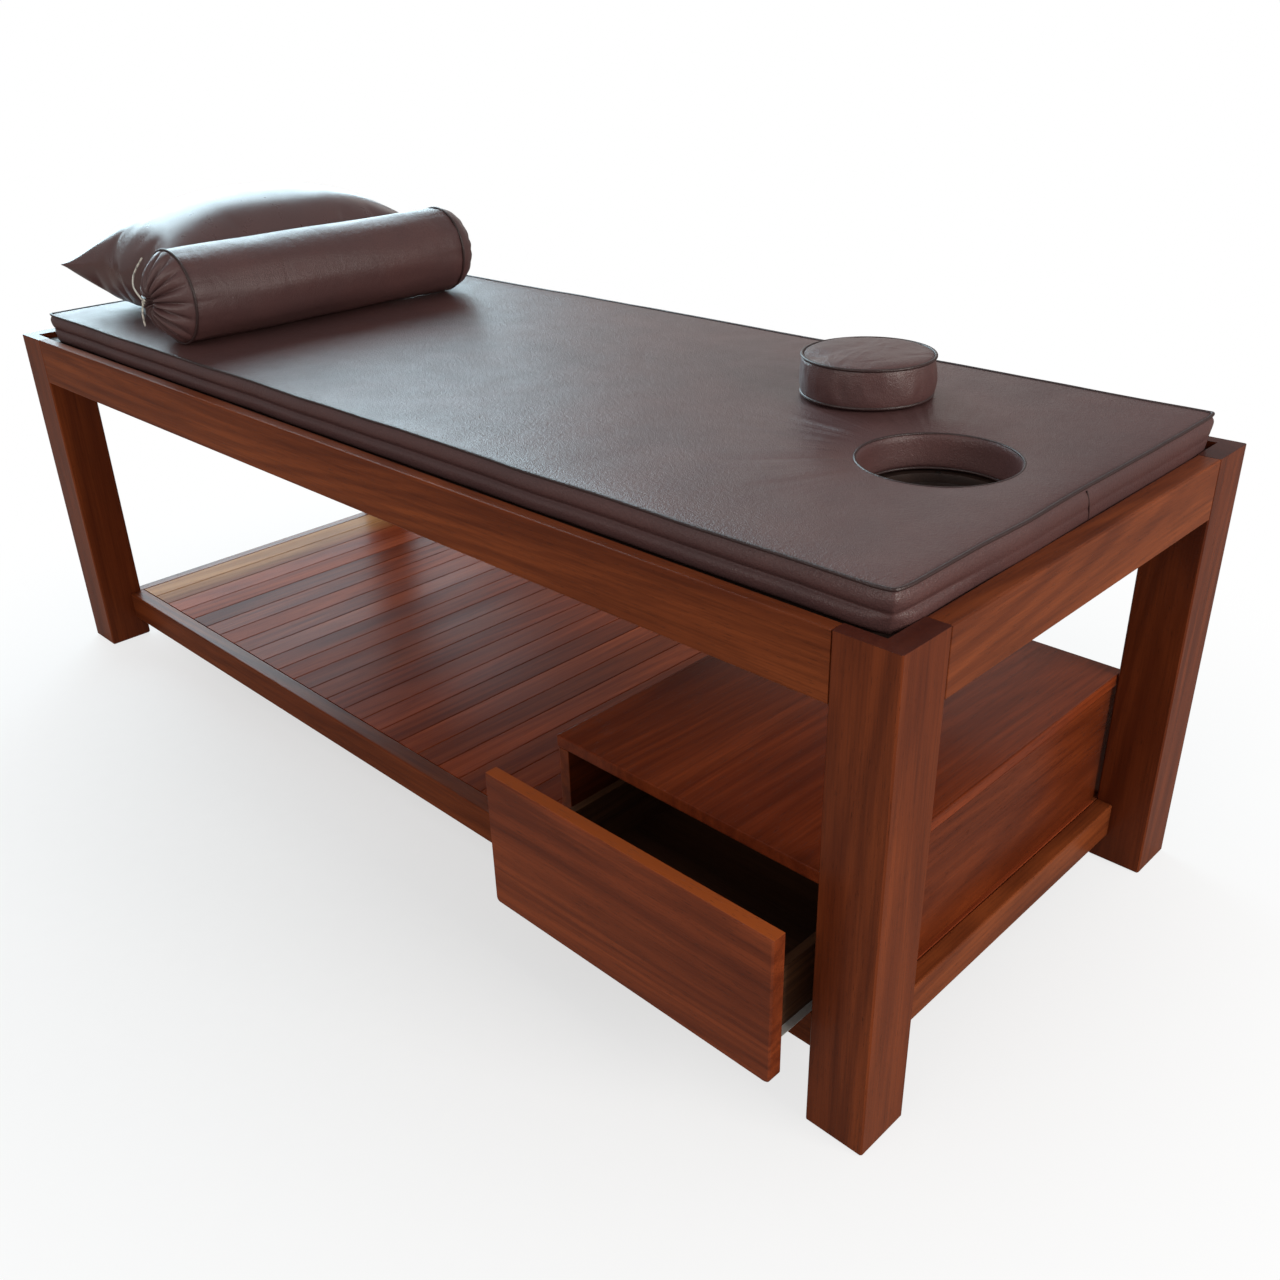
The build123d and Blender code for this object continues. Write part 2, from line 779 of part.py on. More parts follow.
def make_runners():
    """Pressed steel roller runners: a channel on the cabinet and an angle on the drawer, each side."""
    for name, side_x in crosswise:
        wall = panel_in
        web = wall - runner_steel
        lip = wall - cabinet_flange
        outline = (
            (wall, channel_floor - runner_steel),
            (wall, channel_ceiling + runner_steel),
            (lip, channel_ceiling + runner_steel),
            (lip, channel_ceiling),
            (web, channel_ceiling),
            (web, channel_floor),
            (lip, channel_floor),
            (lip, channel_floor - runner_steel),
        )
        web_x = cabinet_x + side_x * web
        with BuildPart() as cabinet_runner:
            along_y([(cabinet_x + side_x * x, z) for x, z in outline], runner_front_y, runner_back_y)
            for at in cabinet_plate_screw_points(side_x):
                plate_screw(at, (side_x, 0, 0), cabinet_plate_screw_length, Mode.SUBTRACT)
            roller_pin(web_x, -side_x, front_roller_y, front_roller_z, Mode.SUBTRACT)
        save(cabinet_runner, f"runner_cabinet_{name}")

        wall = drawer_out
        web = wall + runner_steel
        outline = (
            (wall, drawer_bottom_z),
            (wall, flange_z + runner_steel),
            (wall + drawer_flange, flange_z + runner_steel),
            (wall + drawer_flange, flange_z),
            (web, flange_z),
            (web, drawer_bottom_z - runner_steel),
            (wall - drawer_foot_flange, drawer_bottom_z - runner_steel),
            (wall - drawer_foot_flange, drawer_bottom_z),
        )
        web_x = cabinet_x + side_x * web
        with BuildPart() as drawer_runner:
            along_y([(cabinet_x + side_x * x, z) for x, z in outline], front_back_y, drawer_end_y)
            for at in drawer_plate_screw_points(side_x):
                plate_screw(at, (-side_x, 0, 0), drawer_plate_screw_length, Mode.SUBTRACT)
            roller_pin(web_x, side_x, back_roller_y, back_roller_z, Mode.SUBTRACT)
        save(drawer_runner, f"runner_drawer_{name}")


def make_rollers():
    """Rollers at the front of the cabinet runners and at the back of the drawer runners, with their pins."""
    cabinet_web = panel_in - runner_steel
    drawer_web = drawer_out + runner_steel
    for name, side_x in crosswise:
        cabinet_web_x = cabinet_x + side_x * cabinet_web
        drawer_web_x = cabinet_x + side_x * drawer_web
        make_roller(f"roller_cabinet_{name}", cabinet_web_x, -side_x, front_roller_y, front_roller_z)
        make_roller(f"roller_drawer_{name}", drawer_web_x, side_x, back_roller_y, back_roller_z)

    with BuildPart() as pins_cabinet:
        for side_x in sides:
            roller_pin(cabinet_x + side_x * cabinet_web, -side_x, front_roller_y, front_roller_z)
    save(pins_cabinet, "roller_pins_cabinet")
    with BuildPart() as pins_drawer:
        for side_x in sides:
            roller_pin(cabinet_x + side_x * drawer_web, side_x, back_roller_y, back_roller_z)
    save(pins_drawer, "roller_pins_drawer")

    with BuildPart() as screws_cabinet:
        for side_x in sides:
            for at in cabinet_plate_screw_points(side_x):
                plate_screw(at, (side_x, 0, 0), cabinet_plate_screw_length)
    save(screws_cabinet, "runner_screws_cabinet")
    with BuildPart() as screws_drawer:
        for side_x in sides:
            for at in drawer_plate_screw_points(side_x):
                plate_screw(at, (-side_x, 0, 0), drawer_plate_screw_length)
    save(screws_drawer, "runner_screws_drawer")


def drawer_dowel_points(side_x):
    """Dowels from one drawer side into the back of the front."""
    x = cabinet_x + side_x * (drawer_out - drawer_side_thickness / 2)
    y = front_back_y - drawer_dowel_in_front
    heights = (groove_top + drawer_dowel_inset, drawer_top_z - drawer_dowel_inset)
    return [(x, y, z) for z in heights]


def drawer_screw_points(side_x):
    """Screws through one drawer side into the end of the back."""
    x = cabinet_x + side_x * drawer_out
    y = drawer_back_y + drawer_back_thickness / 2
    heights = (groove_top + drawer_dowel_inset, drawer_top_z - drawer_dowel_inset)
    return [(x, y, z) for z in heights]


def drawer_dowel(at, mode=Mode.ADD):
    """Add or cut one level dowel of the drawer."""
    prism(at, (0, 1, 0), drawer_dowel_radius, drawer_dowel_length, mode)


def make_drawer():
    """Drawer box with a grooved-in bottom and a thick front that covers the cabinet's edges."""
    half_front = cabinet_length / 2 - front_inset
    front_z = shelf_top + front_lift
    bottom_reach = drawer_in + bottom_groove_depth
    with BuildPart() as drawer_front:
        board(
            *span(
                (cabinet_x - half_front, cabinet_x + half_front),
                (front_face_y, front_back_y),
                (front_z, front_z + front_height),
            )
        )
        fillet(drawer_front.edges().filter_by(Axis.Y).group_by(Axis.Z)[0], front_corner_round)
        chamfer(drawer_front.faces().sort_by(Axis.Y)[0].edges(), front_edge_round)
        block(
            *span(
                (cabinet_x - bottom_reach, cabinet_x + bottom_reach),
                (front_back_y - front_groove_depth, front_back_y + overrun),
                (groove_z, groove_top),
            ),
            mode=Mode.SUBTRACT,
        )
        for side_x in sides:
            for at in drawer_dowel_points(side_x):
                drawer_dowel(at, Mode.SUBTRACT)
    save(drawer_front, "drawer_front")

    for name, side_x in crosswise:
        with BuildPart() as side:
            board(
                *span(
                    (cabinet_x + side_x * drawer_in, cabinet_x + side_x * drawer_out),
                    (front_back_y, drawer_end_y),
                    (drawer_bottom_z, drawer_top_z),
                )
            )
            block(
                *span(
                    (cabinet_x + side_x * (drawer_in - overrun), cabinet_x + side_x * bottom_reach),
                    (front_back_y - overrun, drawer_end_y + overrun),
                    (groove_z, groove_top),
                ),
                mode=Mode.SUBTRACT,
            )
            for at in drawer_dowel_points(side_x):
                drawer_dowel(at, Mode.SUBTRACT)
            for at in drawer_screw_points(side_x):
                wood_screw(at, (-side_x, 0, 0), drawer_screw_length, Mode.SUBTRACT)
            for at in drawer_plate_screw_points(side_x):
                plate_screw(at, (-side_x, 0, 0), drawer_plate_screw_length, Mode.SUBTRACT)
        save(side, f"drawer_side_{name}")

    with BuildPart() as drawer_back:
        board(
            *span(
                (cabinet_x - drawer_in, cabinet_x + drawer_in),
                (drawer_back_y, drawer_back_y + drawer_back_thickness),
                (groove_top, drawer_top_z),
            )
        )
        for side_x in sides:
            for at in drawer_screw_points(side_x):
                wood_screw(at, (-side_x, 0, 0), drawer_screw_length, Mode.SUBTRACT)
    save(drawer_back, "drawer_back")

    with BuildPart() as drawer_bottom:
        board(
            *span(
                (cabinet_x - bottom_reach + groove_play, cabinet_x + bottom_reach - groove_play),
                (front_back_y - front_groove_depth + groove_play, drawer_back_y + drawer_back_thickness),
                (groove_z, groove_z + bottom_thickness),
            )
        )
    save(drawer_bottom, "drawer_bottom")

    with BuildPart() as drawer_dowels:
        for side_x in sides:
            for at in drawer_dowel_points(side_x):
                drawer_dowel(at)
    save(drawer_dowels, "drawer_dowels")

    with BuildPart() as drawer_screws:
        for side_x in sides:
            for at in drawer_screw_points(side_x):
                wood_screw(at, (-side_x, 0, 0), drawer_screw_length)
    save(drawer_screws, "drawer_screws")


def make_mattress():
    """Boxed mattress with a crease round its sides, crisp top corners and a round face hole."""
    layers = []
    for height, pull, softness in mattress_side_shares:
        corner = mattress_top_corner + softness * (mattress_bottom_corner - mattress_top_corner)
        layers.append((mattress_bottom + height * mattress_thickness, pull * mattress_waist, corner))
    layers.append((mattress_top, mattress_crown_inset, mattress_top_corner))
    with BuildPart() as mattress:
        for z, inset, corner in layers:
            with BuildSketch(Plane.XY.offset(z)):
                with Locations((mattress_x, mattress_y)):
                    RectangleRounded(mattress_length - 2 * inset, mattress_width - 2 * inset, corner)
        loft(ruled=True)
        with Locations((face_hole_place, face_hole_y, mattress_top)):
            Hole(mattress_hole_radius)
        hole_rims = mattress.edges().filter_by(GeomType.CIRCLE).sort_by(SortBy.RADIUS)[-2:]
        chamfer(hole_rims.sort_by(Axis.Z)[-1], mattress_hole_ease)
    save(mattress, "mattress")


def ringed(start, rings):
    """Loft a round cushion's cover through rings, each a place along a plane's normal and a radius."""
    sections = []
    for place, radius in rings:
        with BuildSketch(start.offset(place)) as ring:
            RegularPolygon(radius, cushion_sides)
        sections.append(ring.sketch)
    loft(sections, ruled=True)


def make_plug():
    """Round boxed cushion with piped seams, bulging sides and a crowned top."""
    seam = plug_radius - plug_piping_sink
    pipe = plug_piping_radius
    rings = [(0, seam - plug_foot_inset)]
    for seam_z in (plug_foot_height, plug_seam_height):
        rings.append((seam_z - pipe, seam))
        rings.append((seam_z, plug_radius))
        rings.append((seam_z + pipe, seam))
        if seam_z == plug_foot_height:
            rings.append(((plug_foot_height + plug_seam_height) / 2, seam + plug_side_bulge))
    for reach, rise in plug_crown_shares:
        rings.append((plug_seam_height + pipe + rise * (plug_crown - pipe), reach * seam))
    with BuildPart() as plug_cushion:
        ringed(Plane(origin=(plug_place, plug_y, cushion_z)), rings)
    save(plug_cushion, "plug_cushion")


def pleated_ring(reach_share):
    """Points of one ring of the gathered end, in X and Z, with a ridge and a valley for each pleat."""
    points = []
    for number in range(2 * gather_pleats):
        reach = reach_share * bolster_radius
        if number % 2:
            reach *= gather_valley_share
        angle = pi * number / gather_pleats
        points.append((bolster_place + reach * cos(angle), bolster_z + reach * sin(angle)))
    return points


def make_bolster():
    """Round bolster with a piped seam and a pleated end that its drawstring gathers."""
    rim = bolster_radius - bolster_end_draw
    pipe = bolster_piping_radius
    body_end = bolster_length - bolster_end_round
    rings = [(0, rim), (pipe, rim + pipe), (2 * pipe, rim)]
    for along, swell in bolster_side_shares:
        rings.append((along * body_end, rim + swell * bolster_end_draw))
    for along, drop in bolster_end_shares:
        rings.append((body_end + along * bolster_end_round, rim - drop * (rim - bolster_end_flat)))
    with BuildPart() as bolster:
        seam = (bolster_place, bolster_y, bolster_z)
        ringed(Plane(origin=seam, x_dir=(1, 0, 0), z_dir=(0, 1, 0)), rings)
        for depth, reach in gather_shares:
            with BuildSketch(Plane.XZ.offset(gather_depth * depth - bolster_y)):
                with BuildLine():
                    Polyline(*pleated_ring(reach), close=True)
                make_face()
        loft(ruled=True)
    save(bolster, "bolster")


def make_pillow():
    """Stuffed pillow with side seams, pinched ends and a flat where it lies on the mattress."""
    with BuildPart() as pillow:
        for along, wide, seam, crest, belly in pillow_shares:
            y = pillow_near_y + along * pillow_length
            half = wide * pillow_width / 2
            seam_z = cushion_z + seam * pillow_height
            with BuildSketch(Plane.XZ.offset(-y)):
                with BuildLine():
                    points = []
                    for number in range(pillow_sides):
                        angle = 2 * pi * number / pillow_sides
                        swell = crest - seam if sin(angle) > 0 else seam - belly
                        z = seam_z + swell * pillow_height * sin(angle)
                        points.append((pillow_x + half * cos(angle), z))
                    Polyline(*points, close=True)
                make_face()
        loft(ruled=True)
        split(bisect_by=Plane.XY.offset(cushion_z), keep=Keep.TOP)
    save(pillow, "pillow")


def corner_radii(points):
    """Radius of the arc at each corner of a cord's route, as large as its two runs allow."""
    radii = []
    for before, corner, after in zip(points, points[1:], points[2:]):
        run_in = Vector(*corner) - Vector(*before)
        run_out = Vector(*after) - Vector(*corner)
        half_turn = radians(run_in.get_angle(run_out)) / 2
        radii.append(bend_share * min(run_in.length, run_out.length) / tan(half_turn))
    return radii


def make_drawstring():
    """Knot on the gathered end and the two limp tails that leave it."""
    for name, route in (("upper", upper_tail), ("lower", lower_tail)):
        points = [(bolster_place + x, gather_end_y + y, bolster_z + z) for x, y, z in route]
        radii = corner_radii(points)
        with BuildPart() as tail:
            with BuildLine() as path:
                FilletPolyline(*points, radius=radii)
            with BuildSketch(path.line ^ 0):
                RegularPolygon(cord_radius, cord_sides)
            sweep()
        save(tail, f"drawstring_{name}")
        section = cord_sides / 2 * cord_radius**2 * sin(2 * pi / cord_sides)
        length = path.wire().length
        print("drawstring", name, "length", round(length, 1), "radii", [round(r, 1) for r in radii])
        print("volume", round(tail.part.volume, 2), "section times length", round(section * length, 2))
    with BuildPart() as knot:
        face = Plane.XZ.offset(soft_gap - gather_end_y)
        with BuildSketch(face) as outline:
            with Locations((bolster_place + knot_shift, bolster_z)):
                RegularPolygon(knot_radius, cord_sides)
        extrude(outline.sketch, amount=2 * knot_radius)
        chamfer(knot.faces().filter_by(Axis.Y).edges(), knot_ease)
    save(knot, "drawstring_knot")


os.makedirs("parts", exist_ok=True)
make_legs()
make_top_rails()
make_cleats()
make_bearers()
make_frame_screws()
make_base()
make_shelf()
make_cabinet()
make_runners()
make_rollers()
make_drawer()
make_mattress()
make_plug()
make_bolster()
make_pillow()
make_drawstring()
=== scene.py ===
from math import atan2, cos, exp, pi, radians, sin

import bmesh
import bpy
from mathutils import Euler, Matrix, Vector, noise


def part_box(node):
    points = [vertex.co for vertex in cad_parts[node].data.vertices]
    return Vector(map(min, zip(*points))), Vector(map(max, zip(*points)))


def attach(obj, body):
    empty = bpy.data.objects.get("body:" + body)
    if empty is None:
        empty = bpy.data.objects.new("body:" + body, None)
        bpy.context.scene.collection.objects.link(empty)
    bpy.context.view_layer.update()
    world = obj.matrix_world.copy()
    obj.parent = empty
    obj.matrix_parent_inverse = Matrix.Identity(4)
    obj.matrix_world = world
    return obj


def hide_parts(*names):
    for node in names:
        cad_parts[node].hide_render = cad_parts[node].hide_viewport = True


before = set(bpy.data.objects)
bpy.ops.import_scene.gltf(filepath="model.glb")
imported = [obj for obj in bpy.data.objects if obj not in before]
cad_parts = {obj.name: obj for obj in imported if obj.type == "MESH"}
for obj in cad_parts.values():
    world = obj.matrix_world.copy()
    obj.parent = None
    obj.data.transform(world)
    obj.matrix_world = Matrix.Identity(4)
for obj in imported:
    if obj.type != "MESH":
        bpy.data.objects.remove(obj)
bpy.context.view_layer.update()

bl_info = {
    "name": "Massage bed finish",
    "version": (1, 0, 0),
    "blender": (4, 5, 0),
    "location": "View3D > Sidebar > Massage bed",
    "description": "Covers, cushions, wood and metal finishes of a massage bed",
    "category": "Object",
}

LONG_BOARDS = ("rail_front", "rail_back", "cleat_front", "cleat_back", "shelf_rail_front", "shelf_rail_back",
               "shelf_cleat_front", "shelf_cleat_back")
CROSS_BOARDS = ("rail_left", "rail_right", "shelf_rail_left", "shelf_rail_right")
LEGS = ("leg_front_left", "leg_front_right", "leg_back_left", "leg_back_right")
BEARERS = tuple(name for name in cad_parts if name.startswith("bearer_"))
FACE_HOLE = Vector((0.789, 0.0265, 0))
HOLE_RADIUS = 0.095
END_SEAM = 0.0444
X_AXIS = (1, 0, 0)
Y_AXIS = (0, 1, 0)
Z_AXIS = (0, 0, 1)
MERGE = 0.00001


# Settings that a user would change


class LeatherSettings(bpy.types.PropertyGroup):
    colour: bpy.props.FloatVectorProperty(
        name="Colour", description="Colour of the leatherette", subtype="COLOR", size=4, min=0, max=1,
        default=(0.106, 0.052, 0.051, 1))
    roughness: bpy.props.FloatProperty(
        name="Roughness", description="How dull the cover's sheen is", default=0.4, min=0, max=1, subtype="FACTOR")
    grain_size: bpy.props.FloatProperty(
        name="Grain size", description="Width of one cell of the grain", default=0.0016, min=0.0004, unit="LENGTH")
    piping_width: bpy.props.FloatProperty(
        name="Piping width", description="Thickness of the piping on the seams", default=0.0045, min=0.001,
        unit="LENGTH")


class WoodSettings(bpy.types.PropertyGroup):
    light: bpy.props.FloatVectorProperty(
        name="Early wood", description="Colour between the dark lines of the grain", subtype="COLOR", size=4, min=0,
        max=1, default=(0.31, 0.077, 0.023, 1))
    dark: bpy.props.FloatVectorProperty(
        name="Late wood", description="Colour of the dark lines of the grain", subtype="COLOR", size=4, min=0,
        max=1, default=(0.1, 0.02, 0.009, 1))
    ring_width: bpy.props.FloatProperty(
        name="Ring width", description="Distance between two dark lines", default=0.022, min=0.002, unit="LENGTH")
    roughness: bpy.props.FloatProperty(
        name="Roughness", description="Dullness of the lacquer", default=0.3, min=0, max=1, subtype="FACTOR")
    edge_round: bpy.props.FloatProperty(
        name="Edge round", description="Sanded round of the boards' edges", default=0.0012, min=0.0001,
        unit="LENGTH")


class CordSettings(bpy.types.PropertyGroup):
    diameter: bpy.props.FloatProperty(
        name="Diameter", description="Thickness of the drawstring", default=0.003, min=0.001, unit="LENGTH")
    colour: bpy.props.FloatVectorProperty(
        name="Colour", description="Colour of the drawstring", subtype="COLOR", size=4, min=0, max=1,
        default=(0.74, 0.69, 0.6, 1))


class StageSettings(bpy.types.PropertyGroup):
    key_power: bpy.props.FloatProperty(
        name="Key light", description="Power of the large soft light", default=164, min=0, unit="POWER")
    fill_power: bpy.props.FloatProperty(
        name="Fill light", description="Power of the light at the right-hand end", default=88, min=0, unit="POWER")
    world_strength: bpy.props.FloatProperty(
        name="Sky", description="Strength of the even light from all round", default=0.36, min=0)


# Shader helpers


def set_inputs(tree, made, inputs):
    """Join the inputs of a shader node to sockets, and set the others."""
    for key, value in inputs.items():
        if isinstance(value, bpy.types.NodeSocket):
            tree.links.new(value, made.inputs[key])
        else:
            made.inputs[key].default_value = value


def node(tree, kind, inputs=None, **settings):
    """Add a shader node, set its values and join its inputs."""
    made = tree.nodes.new(kind)
    for key, value in settings.items():
        setattr(made, key, value)
    set_inputs(tree, made, inputs or {})
    return made


def maths(tree, operation, first, second=0.0):
    """One Math node."""
    return node(tree, "ShaderNodeMath", {0: first, 1: second}, operation=operation).outputs[0]


def mix(tree, share, first, second, blend="MIX"):
    """One colour Mix node."""
    made = node(tree, "ShaderNodeMix", {0: share, 6: first, 7: second}, data_type="RGBA", blend_type=blend)
    return made.outputs[2]


def ramp(tree, value, low, high, start=0.0, end=1.0):
    """Remap a value smoothly between two ends."""
    return node(tree, "ShaderNodeMapRange", {0: value, 1: low, 2: high, 3: start, 4: end},
                interpolation_type="SMOOTHSTEP").outputs[0]


def noise_at(tree, vector, scale, detail=3.0, rough=0.55, distortion=0.0):
    """Value of a noise texture."""
    return node(tree, "ShaderNodeTexNoise", {"Vector": vector, "Scale": scale, "Detail": detail, "Roughness": rough,
                                             "Distortion": distortion}).outputs[0]


def stretched(tree, vector, scale, place=(0, 0, 0), turn=(0, 0, 0)):
    """A vector scaled, moved and turned by a Mapping node."""
    return node(tree, "ShaderNodeMapping", {"Vector": vector, "Scale": scale, "Location": place, "Rotation": turn}
                ).outputs[0]


def bump(tree, height, distance, strength=1.0, normal=None):
    """Normal of a height, on top of another normal."""
    inputs = {"Height": height, "Distance": distance, "Strength": strength}
    if normal is not None:
        inputs["Normal"] = normal
    return node(tree, "ShaderNodeBump", inputs).outputs[0]


def new_material(name):
    """Empty material and its tree."""
    made = bpy.data.materials.new(name)
    made.use_nodes = True
    return made, made.node_tree


def dressed(material, inputs):
    """Set and join the inputs of a material's shader, and give the material back."""
    set_inputs(material.node_tree, material.node_tree.nodes["Principled BSDF"], inputs)
    return material


def toned(colour, tone):
    """Colour times one number, or times three for its red, green and blue."""
    factors = tone if isinstance(tone, tuple) else (tone,) * 3
    return tuple(a * b for a, b in zip(colour[:3], factors)) + (1,)


def object_place(tree):
    """Object coordinates, in metres in the bed's own frame."""
    return node(tree, "ShaderNodeTexCoord").outputs["Object"]


# Finishes of the wood, covers, cord and metal


def lacquered_wood(name, grain, tone=(1, 1, 1), boards=None, spread=0.5, gloss=0.0, coat=0.06, shine=0.2,
                   ends=None, lit_end=None):
    """Teak with rings, streaks, fibres and pores along one axis.

    boards gives the axis, start and pitch of joined boards, spread how far their tones differ, ends the height
    and the colour of the uppermost face, where a lighter colour paints a highlight and a darker one paints shade,
    and lit_end the place along X left of which the boards are painted paler, as light that reaches in under the
    bed.
    """
    wood = bpy.context.scene.massage_bed_wood
    material, tree = new_material(name)
    parts = node(tree, "ShaderNodeSeparateXYZ", {0: object_place(tree)})
    axes = {"X": (1, 2, 0), "Y": (0, 2, 1), "Z": (0, 1, 2)}[grain]
    across, up, along = (parts.outputs[i] for i in axes)
    chance = None
    if boards:
        board_axis, start, pitch = boards
        place = parts.outputs["XYZ".index(board_axis)]
        number = maths(tree, "FLOOR", maths(tree, "DIVIDE", maths(tree, "SUBTRACT", place, start), pitch))
        chance = node(tree, "ShaderNodeTexWhiteNoise", {"W": number}, noise_dimensions="1D").outputs[0]
        across = maths(tree, "ADD", across, maths(tree, "MULTIPLY", chance, 3.7))
        along = maths(tree, "ADD", along, maths(tree, "MULTIPLY", chance, 5.3))
    place = node(tree, "ShaderNodeCombineXYZ", {0: across, 1: up, 2: along}).outputs[0]
    slow = stretched(tree, place, (1, 1, 0.1))
    drift = node(tree, "ShaderNodeTexNoise", {"Vector": slow, "Scale": 4.5, "Detail": 2.0, "Roughness": 0.45})
    drift = node(tree, "ShaderNodeVectorMath", {0: drift.outputs["Color"], "Scale": 0.3}, operation="SCALE")
    tilted = stretched(tree, place, (1, 1, 0.1), place=(0.31, 0.17, 0), turn=(0.4, -0.5, 0))
    bent = node(tree, "ShaderNodeVectorMath", {0: tilted, 1: drift.outputs[0]}, operation="ADD").outputs[0]
    rings = node(tree, "ShaderNodeTexWave", {
        "Vector": bent, "Scale": 2 * pi / (20 * wood.ring_width), "Distortion": 1.6, "Detail": 2.0,
        "Detail Scale": 0.9, "Detail Roughness": 0.6}, wave_type="RINGS", rings_direction="Z").outputs["Fac"]
    rings = ramp(tree, rings, 0.02, 0.8)
    shown = ramp(tree, noise_at(tree, slow, 9.0, 1.0), 0.35, 0.65, 0.08, 0.34)

    def lines(length, scale, detail, rough=0.55, vector=place):
        """Noise drawn out along the grain."""
        return noise_at(tree, stretched(tree, vector, (1, 1, length)), scale, detail, rough)

    streaks = ramp(tree, lines(0.45, 34.0, 4.0, 0.62, bent), 0.3, 0.7)
    fibres = lines(0.022, 420.0, 3.0, 0.6)
    threads = lines(0.014, 130.0, 2.0, 0.6)
    pores = ramp(tree, lines(0.045, 1250.0, 1.0, 0.5), 0.66, 0.74)
    light = toned(wood.light, tone)
    dark = toned(wood.dark, tone)
    colour = mix(tree, maths(tree, "MULTIPLY", streaks, 0.56), light, dark)
    late = maths(tree, "MULTIPLY", maths(tree, "SUBTRACT", 1.0, rings), shown)
    colour = mix(tree, late, colour, dark)
    clouds = ramp(tree, noise_at(tree, slow, 3.1, 2.0), 0.3, 0.72)
    colour = mix(tree, 1.0, colour, mix(tree, clouds, (1.18, 1.16, 1.1, 1), (0.68, 0.6, 0.66, 1)), "MULTIPLY")
    colour = mix(tree, ramp(tree, fibres, 0.38, 0.72, 0.0, 0.25), colour, (0.03, 0.008, 0.004, 1))
    colour = mix(tree, ramp(tree, threads, 0.46, 0.74, 0.0, 0.24), colour, toned(dark, 0.5))
    if chance is not None:
        level = node(tree, "ShaderNodeMapRange", {0: chance, 1: 0.0, 2: 1.0, 3: 1 - spread, 4: 1 + spread})
        colour = mix(tree, 1.0, colour, level.outputs[0], "MULTIPLY")
    # Painted light: the slats left of lit_end turn paler, where light reaches in under the bed's open end.
    if lit_end is not None:
        pale = mix(tree, streaks, (0.58, 0.28, 0.11, 1), (0.36, 0.15, 0.055, 1))
        colour = mix(tree, ramp(tree, parts.outputs[0], lit_end, lit_end + 0.09, 0.75, 0.0), colour, pale)
    # The uppermost face takes the colour of ends, which paints light or shade on that face.
    if ends is not None:
        top, top_colour = ends
        colour = mix(tree, ramp(tree, parts.outputs[2], top - 0.0006, top, 0.0, 0.75), colour, top_colour)
    colour = mix(tree, maths(tree, "MULTIPLY", pores, 0.6), colour, (0.012, 0.004, 0.003, 1))
    rough = wood.roughness + gloss
    grain_height = maths(tree, "SUBTRACT", maths(tree, "MULTIPLY", fibres, 0.25), pores)
    soft = bump(tree, lines(0.35, 9.0, 0.0), 0.0007)
    return dressed(material, {
        "Base Color": colour, "Normal": bump(tree, grain_height, 0.00012, 0.8, soft), "Specular IOR Level": shine,
        "Roughness": ramp(tree, noise_at(tree, slow, 5.0, 2.0), 0.3, 0.7, rough - 0.04, rough + 0.08),
        "Coat Weight": coat, "Coat Roughness": 0.12, "Coat Normal": soft})


def pale_wood(name, grain, light, dark, scale=1.0):
    """Unlacquered board with fine straight grain."""
    material, tree = new_material(name)
    place = stretched(tree, object_place(tree), {"X": (0.03, 1, 1), "Y": (1, 0.03, 1), "Z": (1, 1, 0.03)}[grain])
    lines = noise_at(tree, place, 90.0 * scale, 4.0, 0.6, 0.6)
    fibres = noise_at(tree, place, 700.0, 2.0)
    colour = mix(tree, ramp(tree, lines, 0.3, 0.72), light, dark)
    colour = mix(tree, ramp(tree, fibres, 0.5, 0.75, 0.0, 0.35), colour, toned(dark, 0.5))
    return dressed(material, {"Base Color": colour, "Roughness": ramp(tree, fibres, 0.3, 0.7, 0.5, 0.7),
                              "Normal": bump(tree, fibres, 0.00015)})


def leatherette(name, creases=None, hole=None, shade=1, gloss=0.0, crinkle=0.0004, shine=0.55,
                cells_height=0.0004):
    """Grained dark cover.

    creases gives their stretch along the axes, scale and height, hole the middle of a hole with ridges round it,
    and shade darkens the cover as painted shade. crinkle and cells_height are the heights of the small and the
    finest relief.
    """
    leather = bpy.context.scene.massage_bed_leather
    material, tree = new_material(name)
    place = object_place(tree)
    grain = node(tree, "ShaderNodeTexVoronoi", {
        "Vector": place, "Scale": 1 / leather.grain_size, "Randomness": 1.0, "Smoothness": 0.35},
        feature="SMOOTH_F1").outputs["Distance"]
    # shade darkens the base colour as painted shade; the piping uses it for its seams.
    base = toned(leather.colour, shade)
    colour = mix(tree, ramp(tree, noise_at(tree, place, 6.0, 3.0), 0.3, 0.7), base, toned(base, (1.3, 1.18, 1.12)))
    colour = mix(tree, ramp(tree, grain, 0.25, 0.62, 0.0, 0.5), colour, toned(base, 0.72))
    rub = noise_at(tree, place, 22.0, 4.0, 0.65)
    rough = leather.roughness + gloss
    normal = None
    if creases:
        stretch, scale, height = creases
        vector = stretched(tree, place, stretch)
        folds = noise_at(tree, vector, scale, 1.0, 0.5, 0.8)
        folds = maths(tree, "ABSOLUTE", maths(tree, "SUBTRACT", folds, 0.5))
        normal = bump(tree, ramp(tree, folds, 0.0, 0.16), height)
        small = noise_at(tree, vector, scale * 6.5, 2.0, 0.5, 0.5)
        normal = bump(tree, small, height * 0.3, 0.7, normal)
    if hole:
        normal = hole_creases(tree, place, hole, normal)
    if crinkle:
        normal = bump(tree, noise_at(tree, place, 190.0, 2.0, 0.6), crinkle, 0.8, normal)
    normal = bump(tree, noise_at(tree, place, 900.0, 3.0, 0.6), 0.00018, 0.6, normal)
    if cells_height:
        normal = bump(tree, grain, cells_height, 0.85, normal)
    return dressed(material, {
        "Base Color": colour, "Roughness": ramp(tree, rub, 0.3, 0.75, rough - 0.03, rough + 0.04),
        "Specular IOR Level": shine, "Normal": normal})


def piping(name):
    """Darker strip of the cover, without creases; the darkening is painted shade along the seams."""
    return leatherette(name, shade=0.4, crinkle=0)


